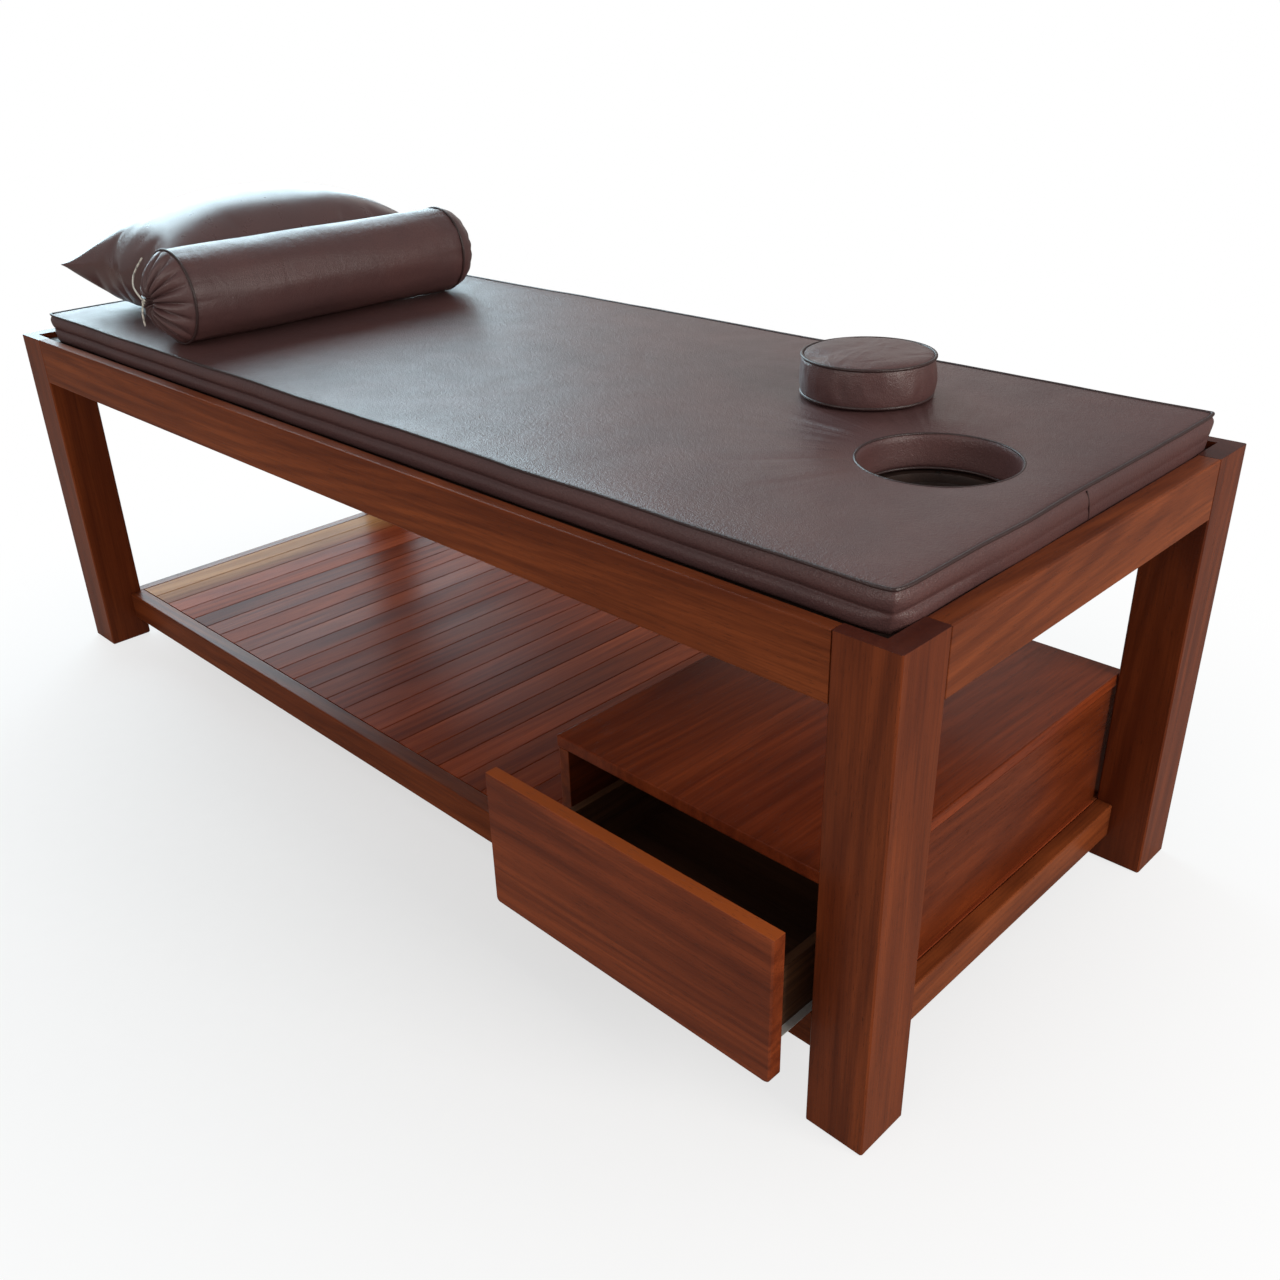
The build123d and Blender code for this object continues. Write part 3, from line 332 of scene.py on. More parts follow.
def hole_creases(tree, place, hole, normal):
    """A few soft ridges that run from a hole towards the middle of the cover and fade out."""
    centred = stretched(tree, place, (1, 1, 1), place=(-hole[0], -hole[1], 0))
    parts = node(tree, "ShaderNodeSeparateXYZ", {0: centred})
    flat = node(tree, "ShaderNodeCombineXYZ", {0: parts.outputs[0], 1: parts.outputs[1]}).outputs[0]
    away = node(tree, "ShaderNodeVectorMath", {0: flat}, operation="LENGTH").outputs["Value"]
    unit = node(tree, "ShaderNodeVectorMath", {0: flat}, operation="NORMALIZE").outputs[0]
    fan = noise_at(tree, stretched(tree, unit, (2, 2, 2)), 3.1, 1.5, 0.5)
    start = ramp(tree, away, 0.1, 0.15)
    fade = maths(tree, "MULTIPLY", start, ramp(tree, away, 0.15, 0.36, 1.0, 0.0))
    side = ramp(tree, node(tree, "ShaderNodeSeparateXYZ", {0: unit}).outputs[0], -0.9, 0.1, 1.0, 0.06)
    height = maths(tree, "MULTIPLY", fan, maths(tree, "MULTIPLY", fade, side))
    return bump(tree, height, 0.009, 1.0, normal)


def cotton(name):
    """Twisted cotton cord."""
    cord = bpy.context.scene.massage_bed_cord
    material, tree = new_material(name)
    place = object_place(tree)
    twist = node(tree, "ShaderNodeTexWave", {"Vector": place, "Scale": 45.0, "Distortion": 1.5, "Detail": 2.0},
                 wave_type="BANDS", bands_direction="DIAGONAL").outputs["Fac"]
    fuzz = noise_at(tree, place, 2600.0, 3.0, 0.7)
    shade = toned(cord.colour, 0.55)
    # Painted shade: the twist's grooves are darker than the cord's own colour.
    colour = mix(tree, ramp(tree, twist, 0.1, 0.6), shade, cord.colour)
    height = maths(tree, "ADD", twist, maths(tree, "MULTIPLY", fuzz, 0.5))
    return dressed(material, {"Base Color": mix(tree, ramp(tree, fuzz, 0.4, 0.8, 0.0, 0.3), colour, shade),
                              "Roughness": 0.85, "Sheen Weight": 0.3, "Normal": bump(tree, height, 0.0005)})


def zinc(name):
    """Bright zinc plate with fine blotches."""
    material, tree = new_material(name)
    place = object_place(tree)
    blotch = noise_at(tree, place, 300.0, 3.0)
    scratch = noise_at(tree, stretched(tree, place, (1, 0.1, 1)), 3000.0, 2.0)
    return dressed(material, {
        "Base Color": mix(tree, ramp(tree, blotch, 0.3, 0.7), (0.62, 0.63, 0.66, 1), (0.8, 0.79, 0.74, 1)),
        "Metallic": 1, "Roughness": ramp(tree, blotch, 0.3, 0.7, 0.22, 0.38),
        "Normal": bump(tree, scratch, 0.00003)})


def epoxy(name):
    """White powder coat with a faint orange peel and grey rubs."""
    material, tree = new_material(name)
    place = object_place(tree)
    rubs = ramp(tree, noise_at(tree, stretched(tree, place, (1, 0.05, 1)), 160.0, 3.0), 0.55, 0.75, 0.0, 0.4)
    return dressed(material, {
        "Base Color": mix(tree, rubs, (0.78, 0.78, 0.74, 1), (0.45, 0.45, 0.43, 1)),
        "Roughness": 0.35, "Normal": bump(tree, noise_at(tree, place, 1400.0, 2.0), 0.00008)})


def nylon(name):
    """Slightly milky turned plastic."""
    material, tree = new_material(name)
    turned = noise_at(tree, stretched(tree, object_place(tree), (1, 0.1, 0.1)), 2500.0, 2.0)
    return dressed(material, {
        "Base Color": mix(tree, turned, (0.8, 0.79, 0.74, 1), (0.68, 0.67, 0.62, 1)), "Roughness": 0.45,
        "Subsurface Weight": 0.1, "Subsurface Radius": (0.004, 0.004, 0.003),
        "Normal": bump(tree, turned, 0.00004)})


# Mesh helpers


def placed(name, data):
    """New object in the scene, of a mesh, curve, lamp or camera."""
    made = bpy.data.objects.new(name, data)
    bpy.context.scene.collection.objects.link(made)
    return made


def taken_off(holder):
    """Mesh of an object with its modifiers applied; the object is dropped."""
    made = bpy.data.meshes.new_from_object(holder.evaluated_get(bpy.context.evaluated_depsgraph_get()))
    bpy.data.objects.remove(holder)
    return made


def new_verts(made):
    """Vertices among the elements that a bmesh operator made."""
    return [item for item in made["geom"] if isinstance(item, bmesh.types.BMVert)]


def smoothed(bm, verts, rounds, axes="xyz"):
    """Smooth vertices some rounds long, along some of the axes."""
    for _ in range(rounds):
        bmesh.ops.smooth_vert(bm, verts=verts, factor=0.5, use_axis_x="x" in axes, use_axis_y="y" in axes,
                              use_axis_z="z" in axes)


def to_piece(name, mesh, materials, body, nodes):
    """Make a mesh into a smooth piece that rides on its body and stands for its CAD nodes."""
    for material in materials:
        mesh.materials.append(material)
    mesh.shade_smooth()
    piece = placed(name, mesh)
    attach(piece, body)
    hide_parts(*nodes)
    return piece


def mesh_from(bm, name):
    """Mesh of a finished bmesh, with its faces pointing outwards."""
    bmesh.ops.remove_doubles(bm, verts=bm.verts, dist=MERGE)
    bmesh.ops.recalc_face_normals(bm, faces=bm.faces)
    mesh = bpy.data.meshes.new(name)
    bm.to_mesh(mesh)
    bm.free()
    return mesh


def reopened(mesh):
    """Bmesh of a mesh, which is dropped."""
    bm = bmesh.new()
    bm.from_mesh(mesh)
    bpy.data.meshes.remove(mesh)
    return bm


def spun(bm, points, centre, axis, steps):
    """Spin an open outline round an axis into a closed surface."""
    verts = [bm.verts.new(point) for point in points]
    edges = [bm.edges.new(pair) for pair in zip(verts, verts[1:])]
    bmesh.ops.spin(bm, geom=verts + edges, cent=centre, axis=axis, angle=2 * pi, steps=steps, use_merge=True)
    bmesh.ops.remove_doubles(bm, verts=bm.verts, dist=MERGE)


def mark_piping(bm, before):
    """Give the piping's material to the faces that weren't there before."""
    for face in set(bm.faces) - before:
        face.material_index = 1


def ring_piping(bm, centre, axis, radius, tube, steps=120):
    """Spin a small circle round an axis into a ring of piping."""
    turn = Vector(axis).cross(Vector(X_AXIS)).to_track_quat("Z", "Y").to_matrix().to_4x4()
    spot = Matrix.Translation(Vector(centre) + Vector(X_AXIS) * radius)
    verts = bmesh.ops.create_circle(bm, cap_ends=False, radius=tube, segments=10, matrix=spot @ turn)["verts"]
    edges = list(dict.fromkeys(edge for vert in verts for edge in vert.link_edges))
    before = set(bm.faces)
    bmesh.ops.spin(bm, geom=verts + edges, cent=centre, axis=axis, angle=2 * pi, steps=steps, use_merge=True)
    mark_piping(bm, before)


def tube_curve(name, points, radius, kind="NURBS", steps=2, closed=False, tail=False):
    """Curve that is a round tube, smooth near its points or in straight runs through them."""
    curve = bpy.data.curves.new(name, "CURVE")
    curve.dimensions = "3D"
    curve.bevel_depth = radius
    curve.bevel_resolution = 3
    curve.resolution_u = steps
    curve.use_fill_caps = tail
    line = curve.splines.new(kind)
    line.points.add(len(points) - 1)
    for spot, point in zip(line.points, points):
        spot.co = (*point, 1)
    line.order_u = 3
    line.use_cyclic_u = closed
    line.use_endpoint_u = tail
    return curve


def tube_mesh(name, points, radius, **form):
    """Mesh of such a tube."""
    curve = tube_curve(name, points, radius, **form)
    holder = bpy.data.objects.new(name, curve)
    mesh = bpy.data.meshes.new_from_object(holder)
    bpy.data.objects.remove(holder)
    bpy.data.curves.remove(curve)
    return mesh


def add_piping(bm, mesh):
    """Add a mesh of piping to a bmesh, and drop it."""
    before = set(bm.faces)
    bm.from_mesh(mesh)
    mark_piping(bm, before)
    bpy.data.meshes.remove(mesh)


def rumple(place, size, height, stretch=(1, 1, 1), seed=0.0):
    """Height of soft noise at a place."""
    spot = Vector((place[0] * stretch[0] + seed, place[1] * stretch[1], place[2] * stretch[2])) / size
    return height * noise.noise(spot)


def in_order(bm):
    """Number the parts of a bmesh by their places, so that its cloth folds in the same way in each run."""
    for items, spot in ((bm.verts, lambda vert: vert.co),
                        (bm.edges, lambda edge: edge.verts[0].co + edge.verts[1].co),
                        (bm.faces, lambda face: face.calc_center_median())):
        order = sorted(items, key=lambda item: tuple(round(c, 6) for c in spot(item)))
        number = {item: float(count) for count, item in enumerate(order)}
        items.sort(key=number.get)
        items.index_update()


def inflated(name, bm, pressure, frames, stiffness=15.0):
    """Blow a closed cover up with Blender's Cloth, and give back its mesh."""
    in_order(bm)
    mesh = mesh_from(bm, name)
    cover = placed(name, mesh)
    cloth = cover.modifiers.new("Cloth", "CLOTH")
    cloth.settings.quality = 5
    cloth.settings.mass = 0.25
    cloth.settings.tension_stiffness = stiffness
    cloth.settings.compression_stiffness = stiffness
    cloth.settings.shear_stiffness = stiffness / 2
    cloth.settings.bending_stiffness = 0.4
    cloth.settings.use_pressure = True
    cloth.settings.uniform_pressure_force = pressure
    cloth.settings.effector_weights.gravity = 0
    cloth.collision_settings.use_collision = False
    cloth.point_cache.frame_start = 1
    cloth.point_cache.frame_end = frames
    for number in range(1, frames + 1):
        bpy.context.scene.frame_set(number)
    made = taken_off(cover)
    bpy.context.scene.frame_set(1)
    return made


# Pieces, and the stage round them


class MASSAGEBED_OT_drawstring(bpy.types.Operator):
    """Cotton drawstring of the bolster: two limp tails and their knot"""

    bl_idname = "massagebed.drawstring"
    bl_label = "Drawstring"

    def execute(self, context):
        cord = context.scene.massage_bed_cord
        finish = cotton("cotton_cord")
        knot_at = Vector((-0.497, -0.3313, 0.7706))
        knot_size = 0.00105
        loop = []
        for number in range(60):
            t = 2 * pi * number / 60
            trefoil = Vector((cos(t) - 2 * cos(2 * t), -1.1 * sin(3 * t), sin(t) + 2 * sin(2 * t)))
            loop.append(knot_at + trefoil * knot_size)
        mesh = tube_mesh("bolster_knot", loop, cord.diameter * 0.45, kind="POLY", closed=True)
        knot = to_piece("bolster_knot", mesh, [finish], "bolster", ["drawstring_knot"])
        tails = (
            ("upper", 0.0948, [(-0.500, -0.3315, 0.7736), (-0.522, -0.3325, 0.7856), (-0.541, -0.3235, 0.7976),
                               (-0.553, -0.3105, 0.8116), (-0.551, -0.2945, 0.8296)]),
            ("lower", 0.0408, [(-0.498, -0.3325, 0.7676), (-0.500, -0.3355, 0.7551), (-0.504, -0.3345, 0.7421),
                               (-0.509, -0.3315, 0.7291)]),
        )
        for name, length, route in tails:
            curve = tube_curve(f"bolster_tail_{name}", route, cord.diameter / 2, steps=12, tail=True)
            curve.materials.append(finish)
            tail = placed(f"bolster_tail_{name}", curve)
            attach(tail, "bolster")
            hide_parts(f"drawstring_{name}")
        return {"FINISHED"}


def graded_grid(bm, low, high, cells_x, cells_y, border, z):
    """Flat grid between two corners, with one narrow row of faces along its border."""
    bmesh.ops.create_grid(bm, x_segments=cells_x, y_segments=cells_y, size=0.5)
    for vert in bm.verts:
        for axis, cells in ((0, cells_x), (1, cells_y)):
            step = round((vert.co[axis] + 0.5) * cells)
            length = high[axis] - low[axis]
            away = border + (length - 2 * border) * (step - 1) / (cells - 2)
            if step == 0:
                away = 0
            elif step == cells:
                away = length
            vert.co[axis] = low[axis] + away
        vert.co.z = z


def open_hole(bm, hole, radius, cells):
    """Open a round hole in a grid and let the faces round it follow."""
    middle = min(bm.verts, key=lambda vert: (vert.co.xy - hole.xy).length)
    start = middle.co.copy()
    size = max(edge.calc_length() for edge in middle.link_edges)
    block = [face for face in bm.faces
             if max(abs(face.calc_center_median()[axis] - start[axis]) for axis in (0, 1)) < size * cells]
    bmesh.ops.delete(bm, geom=block, context="FACES")
    ring = [vert for vert in bm.verts if vert.is_boundary and (vert.co.xy - hole.xy).length < radius * 1.7]
    for vert in ring:
        vert.co.xy = hole.xy + (vert.co.xy - start.xy).normalized() * radius
    near = [vert for vert in bm.verts
            if not vert.is_boundary and (vert.co.xy - hole.xy).length < radius + 5 * size]
    smoothed(bm, near, 14, "xy")
    return ring


def ring_edges(bm, ring):
    """Boundary edges between the vertices of a ring."""
    known = set(ring)
    return [edge for edge in bm.edges if edge.is_boundary and edge.verts[0] in known and edge.verts[1] in known]


def extruded_ring(bm, ring):
    """Extrude a closed ring of boundary vertices; returns each new vertex with the one it came from."""
    made = bmesh.ops.extrude_edge_only(bm, edges=ring_edges(bm, ring))
    known = set(ring)
    pairs = {}
    for vert in new_verts(made):
        pairs[vert] = next(edge.other_vert(vert) for edge in vert.link_edges if edge.other_vert(vert) in known)
    return pairs


def walked(ring):
    """Places of a ring's vertices in their order round it."""
    known = set(ring)
    order = [ring[0]]
    seen = {ring[0]}
    while True:
        after = [edge.other_vert(order[-1]) for edge in order[-1].link_edges]
        after = [vert for vert in after if vert in known and vert not in seen]
        if not after:
            return [vert.co.copy() for vert in order]
        order.append(after[0])
        seen.add(after[0])


def round_corner(place, low, high, corner, fill=False):
    """Pull a place near a corner inwards until the corner has the given round.

    With fill the places inside the round move too, so that a grid stays even there.
    """
    for side_x, edge_x in ((-1, low.x), (1, high.x)):
        for side_y, edge_y in ((-1, low.y), (1, high.y)):
            dx = side_x * (place.x - edge_x) + corner
            dy = side_y * (place.y - edge_y) + corner
            reach = (dx * dx + dy * dy) ** 0.5
            if dx > 0 and dy > 0 and (fill or reach > corner):
                share = (max(dx, dy) if fill else corner) / reach
                place.x = edge_x + side_x * (dx * share - corner)
                place.y = edge_y + side_y * (dy * share - corner)


def outwards(place, low, high):
    """Direction from the middle region of a mattress towards its nearest side."""
    margin = 0.03
    inner = Vector((max(low.x + margin, min(high.x - margin, place.x)),
                    max(low.y + margin, min(high.y - margin, place.y)), 0))
    return (Vector((place.x, place.y, 0)) - inner).normalized()


def side_wave(place):
    """Unevenness of the boxing along the mattress, outwards or inwards."""
    return rumple((place.x, place.y, 0), 0.15, 0.003, seed=3.0) + rumple(place, 0.05, 0.0008, seed=8.0)


def top_wave(x, y):
    """Unevenness of the mattress's height."""
    return rumple((x, y, 0), 0.3, 0.002, seed=5.0) + rumple((x, y, 0), 0.08, 0.0003, seed=1.0)


def subdivided(mesh):
    """Mesh with one level of a Subdivision Surface applied."""
    holder = placed(mesh.name, mesh)
    smooth = holder.modifiers.new("Subdivision", "SUBSURF")
    smooth.levels = 1
    smooth.render_levels = 1
    return taken_off(holder)


def calmed(mesh, share, rounds):
    """Mesh with small tangles smoothed out, and with the bumps smoothed away above a share of its height."""
    bm = bmesh.new()
    bm.from_mesh(mesh)
    smoothed(bm, bm.verts, 2)
    heights = [vert.co.z for vert in bm.verts]
    least = min(heights) + share * (max(heights) - min(heights))
    crest = [vert for vert in bm.verts if vert.co.z > least]
    smoothed(bm, crest, rounds, "z")
    bm.to_mesh(mesh)
    bm.free()
    return mesh


class MASSAGEBED_OT_mattress(bpy.types.Operator):
    """Boxed mattress with piped edges, a crease round its side and a lined face hole"""

    bl_idname = "massagebed.mattress"
    bl_label = "Mattress"

    def execute(self, context):
        pipe = context.scene.massage_bed_leather.piping_width / 2
        low, high = (Vector(corner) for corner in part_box("mattress"))
        edge_z = high.z - 0.005
        depth = edge_z - low.z
        mouth = HOLE_RADIUS + 0.009
        top_corner, under_corner = 0.013, 0.045
        inset = 0.009
        bm = bmesh.new()
        graded_grid(bm, low, high, 98, 39, 0.004, edge_z)
        hole_ring = open_hole(bm, FACE_HOLE, mouth, 4)
        for vert in bm.verts:
            round_corner(vert.co, low, high, top_corner, fill=True)
        for vert in bm.verts:
            for axis in (0, 1):
                middle = (low[axis] + high[axis]) / 2
                vert.co[axis] = middle + (vert.co[axis] - middle) * (1 - inset / (high[axis] - low[axis]))
        known = set(hole_ring)
        rim = [vert for vert in bm.verts if vert.is_boundary and vert not in known]
        made = bmesh.ops.duplicate(bm, geom=bm.verts[:] + bm.edges[:] + bm.faces[:])
        under = new_verts(made)
        under_hole = [made["vert_map"][vert] for vert in hole_ring]
        under_rim = [made["vert_map"][vert] for vert in rim]
        for vert in under:
            vert.co.z = low.z
        for vert in under_rim:
            vert.co -= outwards(vert.co, low, high) * 0.004
            round_corner(vert.co, low, high, under_corner)
        for vert in bm.verts:
            if vert.co.z > low.z + 0.001:
                gap = min(high.x - vert.co.x, vert.co.x - low.x, high.y - vert.co.y, vert.co.y - low.y)
                away = (vert.co.xy - FACE_HOLE.xy).length
                crown = 0.0048 * (1 - exp(-max(gap, 0) / 0.011))
                sag = 0.003 * exp(-max(away - mouth, 0) / 0.016)
                vert.co.z += crown + top_wave(vert.co.x, vert.co.y) - sag
        rings = [rim]
        start = {vert: vert.co.copy() for vert in rim}
        boxing = ((-0.0002, 0, 0.03), (0.0026, 0, 0.1), (0.0042, 0, 0.2), (0.0048, 0, 0.32), (0.0049, 0.0017, 0.42),
                  (0.0049, 0.0062, 0.49), (0.0049, 0.0062, 0.53), (0.0048, 0.0018, 0.59), (0.0046, 0, 0.7),
                  (0.0042, 0, 0.84), (0.002, 0, 0.95))
        for swell, groove, drop in boxing:
            grown = extruded_ring(bm, rings[-1])
            start = {new: start[old] for new, old in grown.items()}
            rings.append(list(grown))
            for vert, place in start.items():
                plain_end = (place.x > high.x - 0.03) * min(0.85, max(0, place.y - low.y - 0.05) * 8)
                vert.co = place + outwards(place, low, high) * (swell - groove * (1 - plain_end))
                round_corner(vert.co, low, high, top_corner + 0.03 * drop)
                vert.co.z = edge_z - drop * depth + top_wave(place.x, place.y) * (1 - drop)
        bmesh.ops.bridge_loops(bm, edges=ring_edges(bm, rings[-1]) + ring_edges(bm, under_rim))
        for ring in rings:
            for vert in ring:
                vert.co += outwards(vert.co, low, high) * side_wave(vert.co)
        ring = hole_ring
        lining = ((0.0035, high.z - 0.0035), (0.0005, high.z - 0.008), (0, high.z - 0.017), (0.0008, low.z + 0.026),
                  (0, low.z + 0.009))
        for flare, z in lining:
            ring = list(extruded_ring(bm, ring))
            for vert in ring:
                way = (vert.co.xy - FACE_HOLE.xy).normalized()
                spot = (way.x, way.y, z * 8)
                vert.co.xy = FACE_HOLE.xy + way * (HOLE_RADIUS + flare + rumple(spot, 0.35, 0.0014, seed=4.0))
                vert.co.z = z
        for vert in under_hole:
            vert.co.xy = FACE_HOLE.xy + (vert.co.xy - FACE_HOLE.xy).normalized() * (HOLE_RADIUS + 0.002)
        bmesh.ops.bridge_loops(bm, edges=ring_edges(bm, ring) + ring_edges(bm, under_hole))
        rim_line = [place + outwards(place, low, high) * 0.0002 + Vector((0, 0, 0.0002)) for place in walked(rim)]
        seam = [(high.x + 0.0004 - 0.004 * abs(2 * drop - 1) ** 3, END_SEAM + 0.012 * drop, edge_z - drop * depth)
                for drop in (0, 0.1, 0.3, 0.5, 0.7, 0.9)]
        bm = reopened(subdivided(mesh_from(bm, "mattress_cover")))
        add_piping(bm, tube_mesh("rim_piping", rim_line, pipe, closed=True))
        ring_piping(bm, (FACE_HOLE.x, FACE_HOLE.y, high.z - 0.0045), Z_AXIS, HOLE_RADIUS + 0.004, pipe * 0.8)
        add_piping(bm, tube_mesh("end_seam", seam, pipe * 0.45))
        ring_piping(bm, (FACE_HOLE.x, FACE_HOLE.y, low.z + 0.004), Z_AXIS, HOLE_RADIUS - 0.0005, pipe * 0.8)
        finish = [leatherette("mattress_leatherette", ((1, 0.6, 1), 4.0, 0.0005), hole=FACE_HOLE, crinkle=0.0009,
                              shine=0.42),
                  piping("mattress_piping")]
        piece = to_piece("mattress_cover", mesh_from(bm, "mattress_cover"), finish, "mattress", ["mattress"])
        return {"FINISHED"}


class MASSAGEBED_OT_plug(bpy.types.Operator):
    """Round boxed cushion of the face hole, with piped seams and a rumpled crown"""

    bl_idname = "massagebed.plug"
    bl_label = "Round cushion"

    def execute(self, context):
        pipe = context.scene.massage_bed_leather.piping_width / 2
        low, high = (Vector(corner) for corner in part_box("plug_cushion"))
        middle = (low + high) / 2
        radius = (high.x - low.x) / 2
        outline = ((0, 0), (0.5, 0), (0.8, 0.0), (0.915, 0.012), (0.955, 0.045), (0.967, 0.09), (0.982, 0.16),
                   (0.99, 0.26), (0.993, 0.38), (0.992, 0.52), (0.985, 0.66), (0.974, 0.77), (0.966, 0.84),
                   (0.95, 0.875), (0.91, 0.902), (0.84, 0.93), (0.74, 0.955), (0.62, 0.972), (0.48, 0.985),
                   (0.34, 0.993), (0.2, 0.998), (0.08, 1.0), (0, 1.0))
        height = high.z - low.z
        bm = bmesh.new()
        spun(bm, [(middle.x + reach * radius, middle.y, low.z + rise * height) for reach, rise in outline],
             (middle.x, middle.y, low.z), Z_AXIS, 112)
        for vert in bm.verts:
            flat = vert.co.xy - middle.xy
            reach = flat.length / radius
            rise = (vert.co.z - low.z) / height
            angle = atan2(flat.y, flat.x)
            way = flat.normalized() if reach > 0.001 else Vector((0, 0))
            if rise > 0.05 and reach > 0.9 and rise < 0.88:
                fold = rumple((cos(angle) * 2, sin(angle) * 2, rise * 0.8), 0.35, 0.0022, seed=2.0)
                fold += rumple((cos(angle) * 5, sin(angle) * 5, rise * 3), 0.5, 0.0008, seed=6.0)
                vert.co.xy += way * fold * (1 - abs(2 * rise - 0.9)) * 1.3
            if rise > 0.86:
                top = rumple((vert.co.x, vert.co.y, 0), 0.05, 0.0026, seed=7.0)
                top += rumple((vert.co.x * 3, vert.co.y, 0), 0.03, 0.001, seed=3.0)
                vert.co.z += top * (0.35 + 0.65 * min(1, (1 - reach) * 5))
                dent = (vert.co.xy - Vector((middle.x - 0.045, middle.y - 0.06))).length
                vert.co.z -= 0.0045 * exp(-(dent / 0.025) ** 2)
            vert.co.z = min(vert.co.z, high.z + 0.001)
        bm = reopened(mesh_from(bm, "plug_cover"))
        for reach, rise in ((0.968, 0.868), (0.962, 0.075)):
            ring_piping(bm, (middle.x, middle.y, low.z + rise * height), Z_AXIS, reach * radius, pipe)
        finish = [leatherette("plug_leatherette", ((1, 1, 0.5), 14.0, 0.0006)), piping("plug_piping")]
        piece = to_piece("plug_cover", mesh_from(bm, "plug_cover"), finish, "plug", ["plug_cushion"])
        return {"FINISHED"}


def pleat(angle, count, seed):
    """Height of a gathered cloth round its centre: 1 on a ridge and 0 in a sharp valley."""
    wobble = 0.1 * noise.noise(Vector((cos(angle) * 2.1, sin(angle) * 2.1, seed)))
    wobble += 0.05 * noise.noise(Vector((cos(angle) * 6, sin(angle) * 6, seed + 4)))
    return abs(sin(count / 2 * (angle + wobble))) ** 0.75


class MASSAGEBED_OT_bolster(bpy.types.Operator):
    """Round bolster with piped seams and an end gathered in pleats"""

    bl_idname = "massagebed.bolster"
    bl_label = "Bolster"

    def execute(self, context):
        pipe = context.scene.massage_bed_leather.piping_width / 2
        near_pleats, far_pleats = 15, 17
        near_seed, far_seed = 1.0, 9.0
        seam = 0.555
        low, high = (Vector(corner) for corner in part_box("bolster"))
        centre = Vector(((low.x + high.x) / 2, low.y + 0.043, (low.z + high.z) / 2))
        radius = (high.x - low.x) / 2
        near = ((0.012, 0.03), (-0.006, 0.05), (-0.022, 0.075), (-0.033, 0.11), (-0.0395, 0.155), (-0.042, 0.21),
                (-0.0415, 0.29), (-0.039, 0.39), (-0.0345, 0.5), (-0.029, 0.61), (-0.0225, 0.71), (-0.016, 0.8),
                (-0.01, 0.875), (-0.0045, 0.93), (0, 0.965))
        body = [(0.004, 0.972)] + [(0.012 + 0.0093 * step, 0.985) for step in range(58)] + [(0.55, 0.975)]
        far = ((0.5545, 0.968), (0.5605, 0.962), (0.568, 0.945), (0.576, 0.905), (0.583, 0.84), (0.589, 0.75),
               (0.5935, 0.64), (0.5965, 0.52), (0.598, 0.4), (0.5985, 0.28), (0.5975, 0.17), (0.594, 0.08),
               (0.5925, 0.03), (0.592, 0.0))
        outline = [(0.02, 0.0)] + list(near) + body + list(far)
        bm = bmesh.new()
        spun(bm, [(centre.x + reach * radius, centre.y + along, centre.z) for along, reach in outline],
             centre, Y_AXIS, 180)
        for vert in bm.verts:
            along = vert.co.y - centre.y
            flat = Vector((vert.co.x - centre.x, vert.co.z - centre.z))
            reach = flat.length
            if reach < 0.0005:
                continue
            angle = atan2(flat.y, flat.x)
            way = flat / reach
            share = min(1.0, max(0.0, (radius - reach) / radius))
            if along <= 0.0 or (along < 0.02 and reach < 0.06):
                ridge = pleat(angle, near_pleats, near_seed)
                small = pleat(angle, 34, 5.0)
                depth = 0.0085 * min(1.0, share * 2.6) * min(1.0, reach / 0.014)
                vert.co.y += depth * (1 - ridge) + 0.0015 * (1 - small) * min(1, share * 3)
                vert.co.y -= 0.003 * ridge * min(1.0, share * 3) * min(1, reach / 0.02)
                reach -= 0.0022 * (1 - ridge) * min(1.0, share * 4)
                fold = rumple((cos(angle) * 3, sin(angle) * 3, share), 0.5, 0.002, seed=3.0)
                vert.co.y += fold * min(1, share * 4)
            elif along > seam + 0.001:
                ridge = pleat(angle, far_pleats, far_seed)
                vert.co.y -= 0.0035 * (1 - ridge) * min(1.0, share * 3) * min(1, reach / 0.012)
            else:
                crease = 0.0014 * (pleat(angle, near_pleats, near_seed) - 0.6) * exp(-along / 0.03)
                crease += 0.0012 * (pleat(angle, far_pleats, far_seed) - 0.6) * exp(-(seam - along) / 0.03)
                crease += rumple((cos(angle) * 0.12, vert.co.y * 0.35, sin(angle) * 0.12), 0.05, 0.0016, seed=5.0)
                crease += rumple((cos(angle) * 0.1, vert.co.y, sin(angle) * 0.1), 0.16, 0.0018, seed=2.0)
                reach += crease
            vert.co.x = centre.x + way.x * reach
            vert.co.z = max(low.z + 0.0002, centre.z + way.y * reach)
        bm = reopened(mesh_from(bm, "bolster_cover"))
        for along in (0.001, seam):
            ring_piping(bm, (centre.x, centre.y + along, centre.z), Y_AXIS, radius * 0.975, pipe, steps=160)
        finish = [leatherette("bolster_leatherette", ((0.5, 1, 0.5), 20.0, 0.0003), gloss=-0.04),
                  piping("bolster_piping")]
        piece = to_piece("bolster_cover", mesh_from(bm, "bolster_cover"), finish, "bolster", ["bolster"])
        return {"FINISHED"}


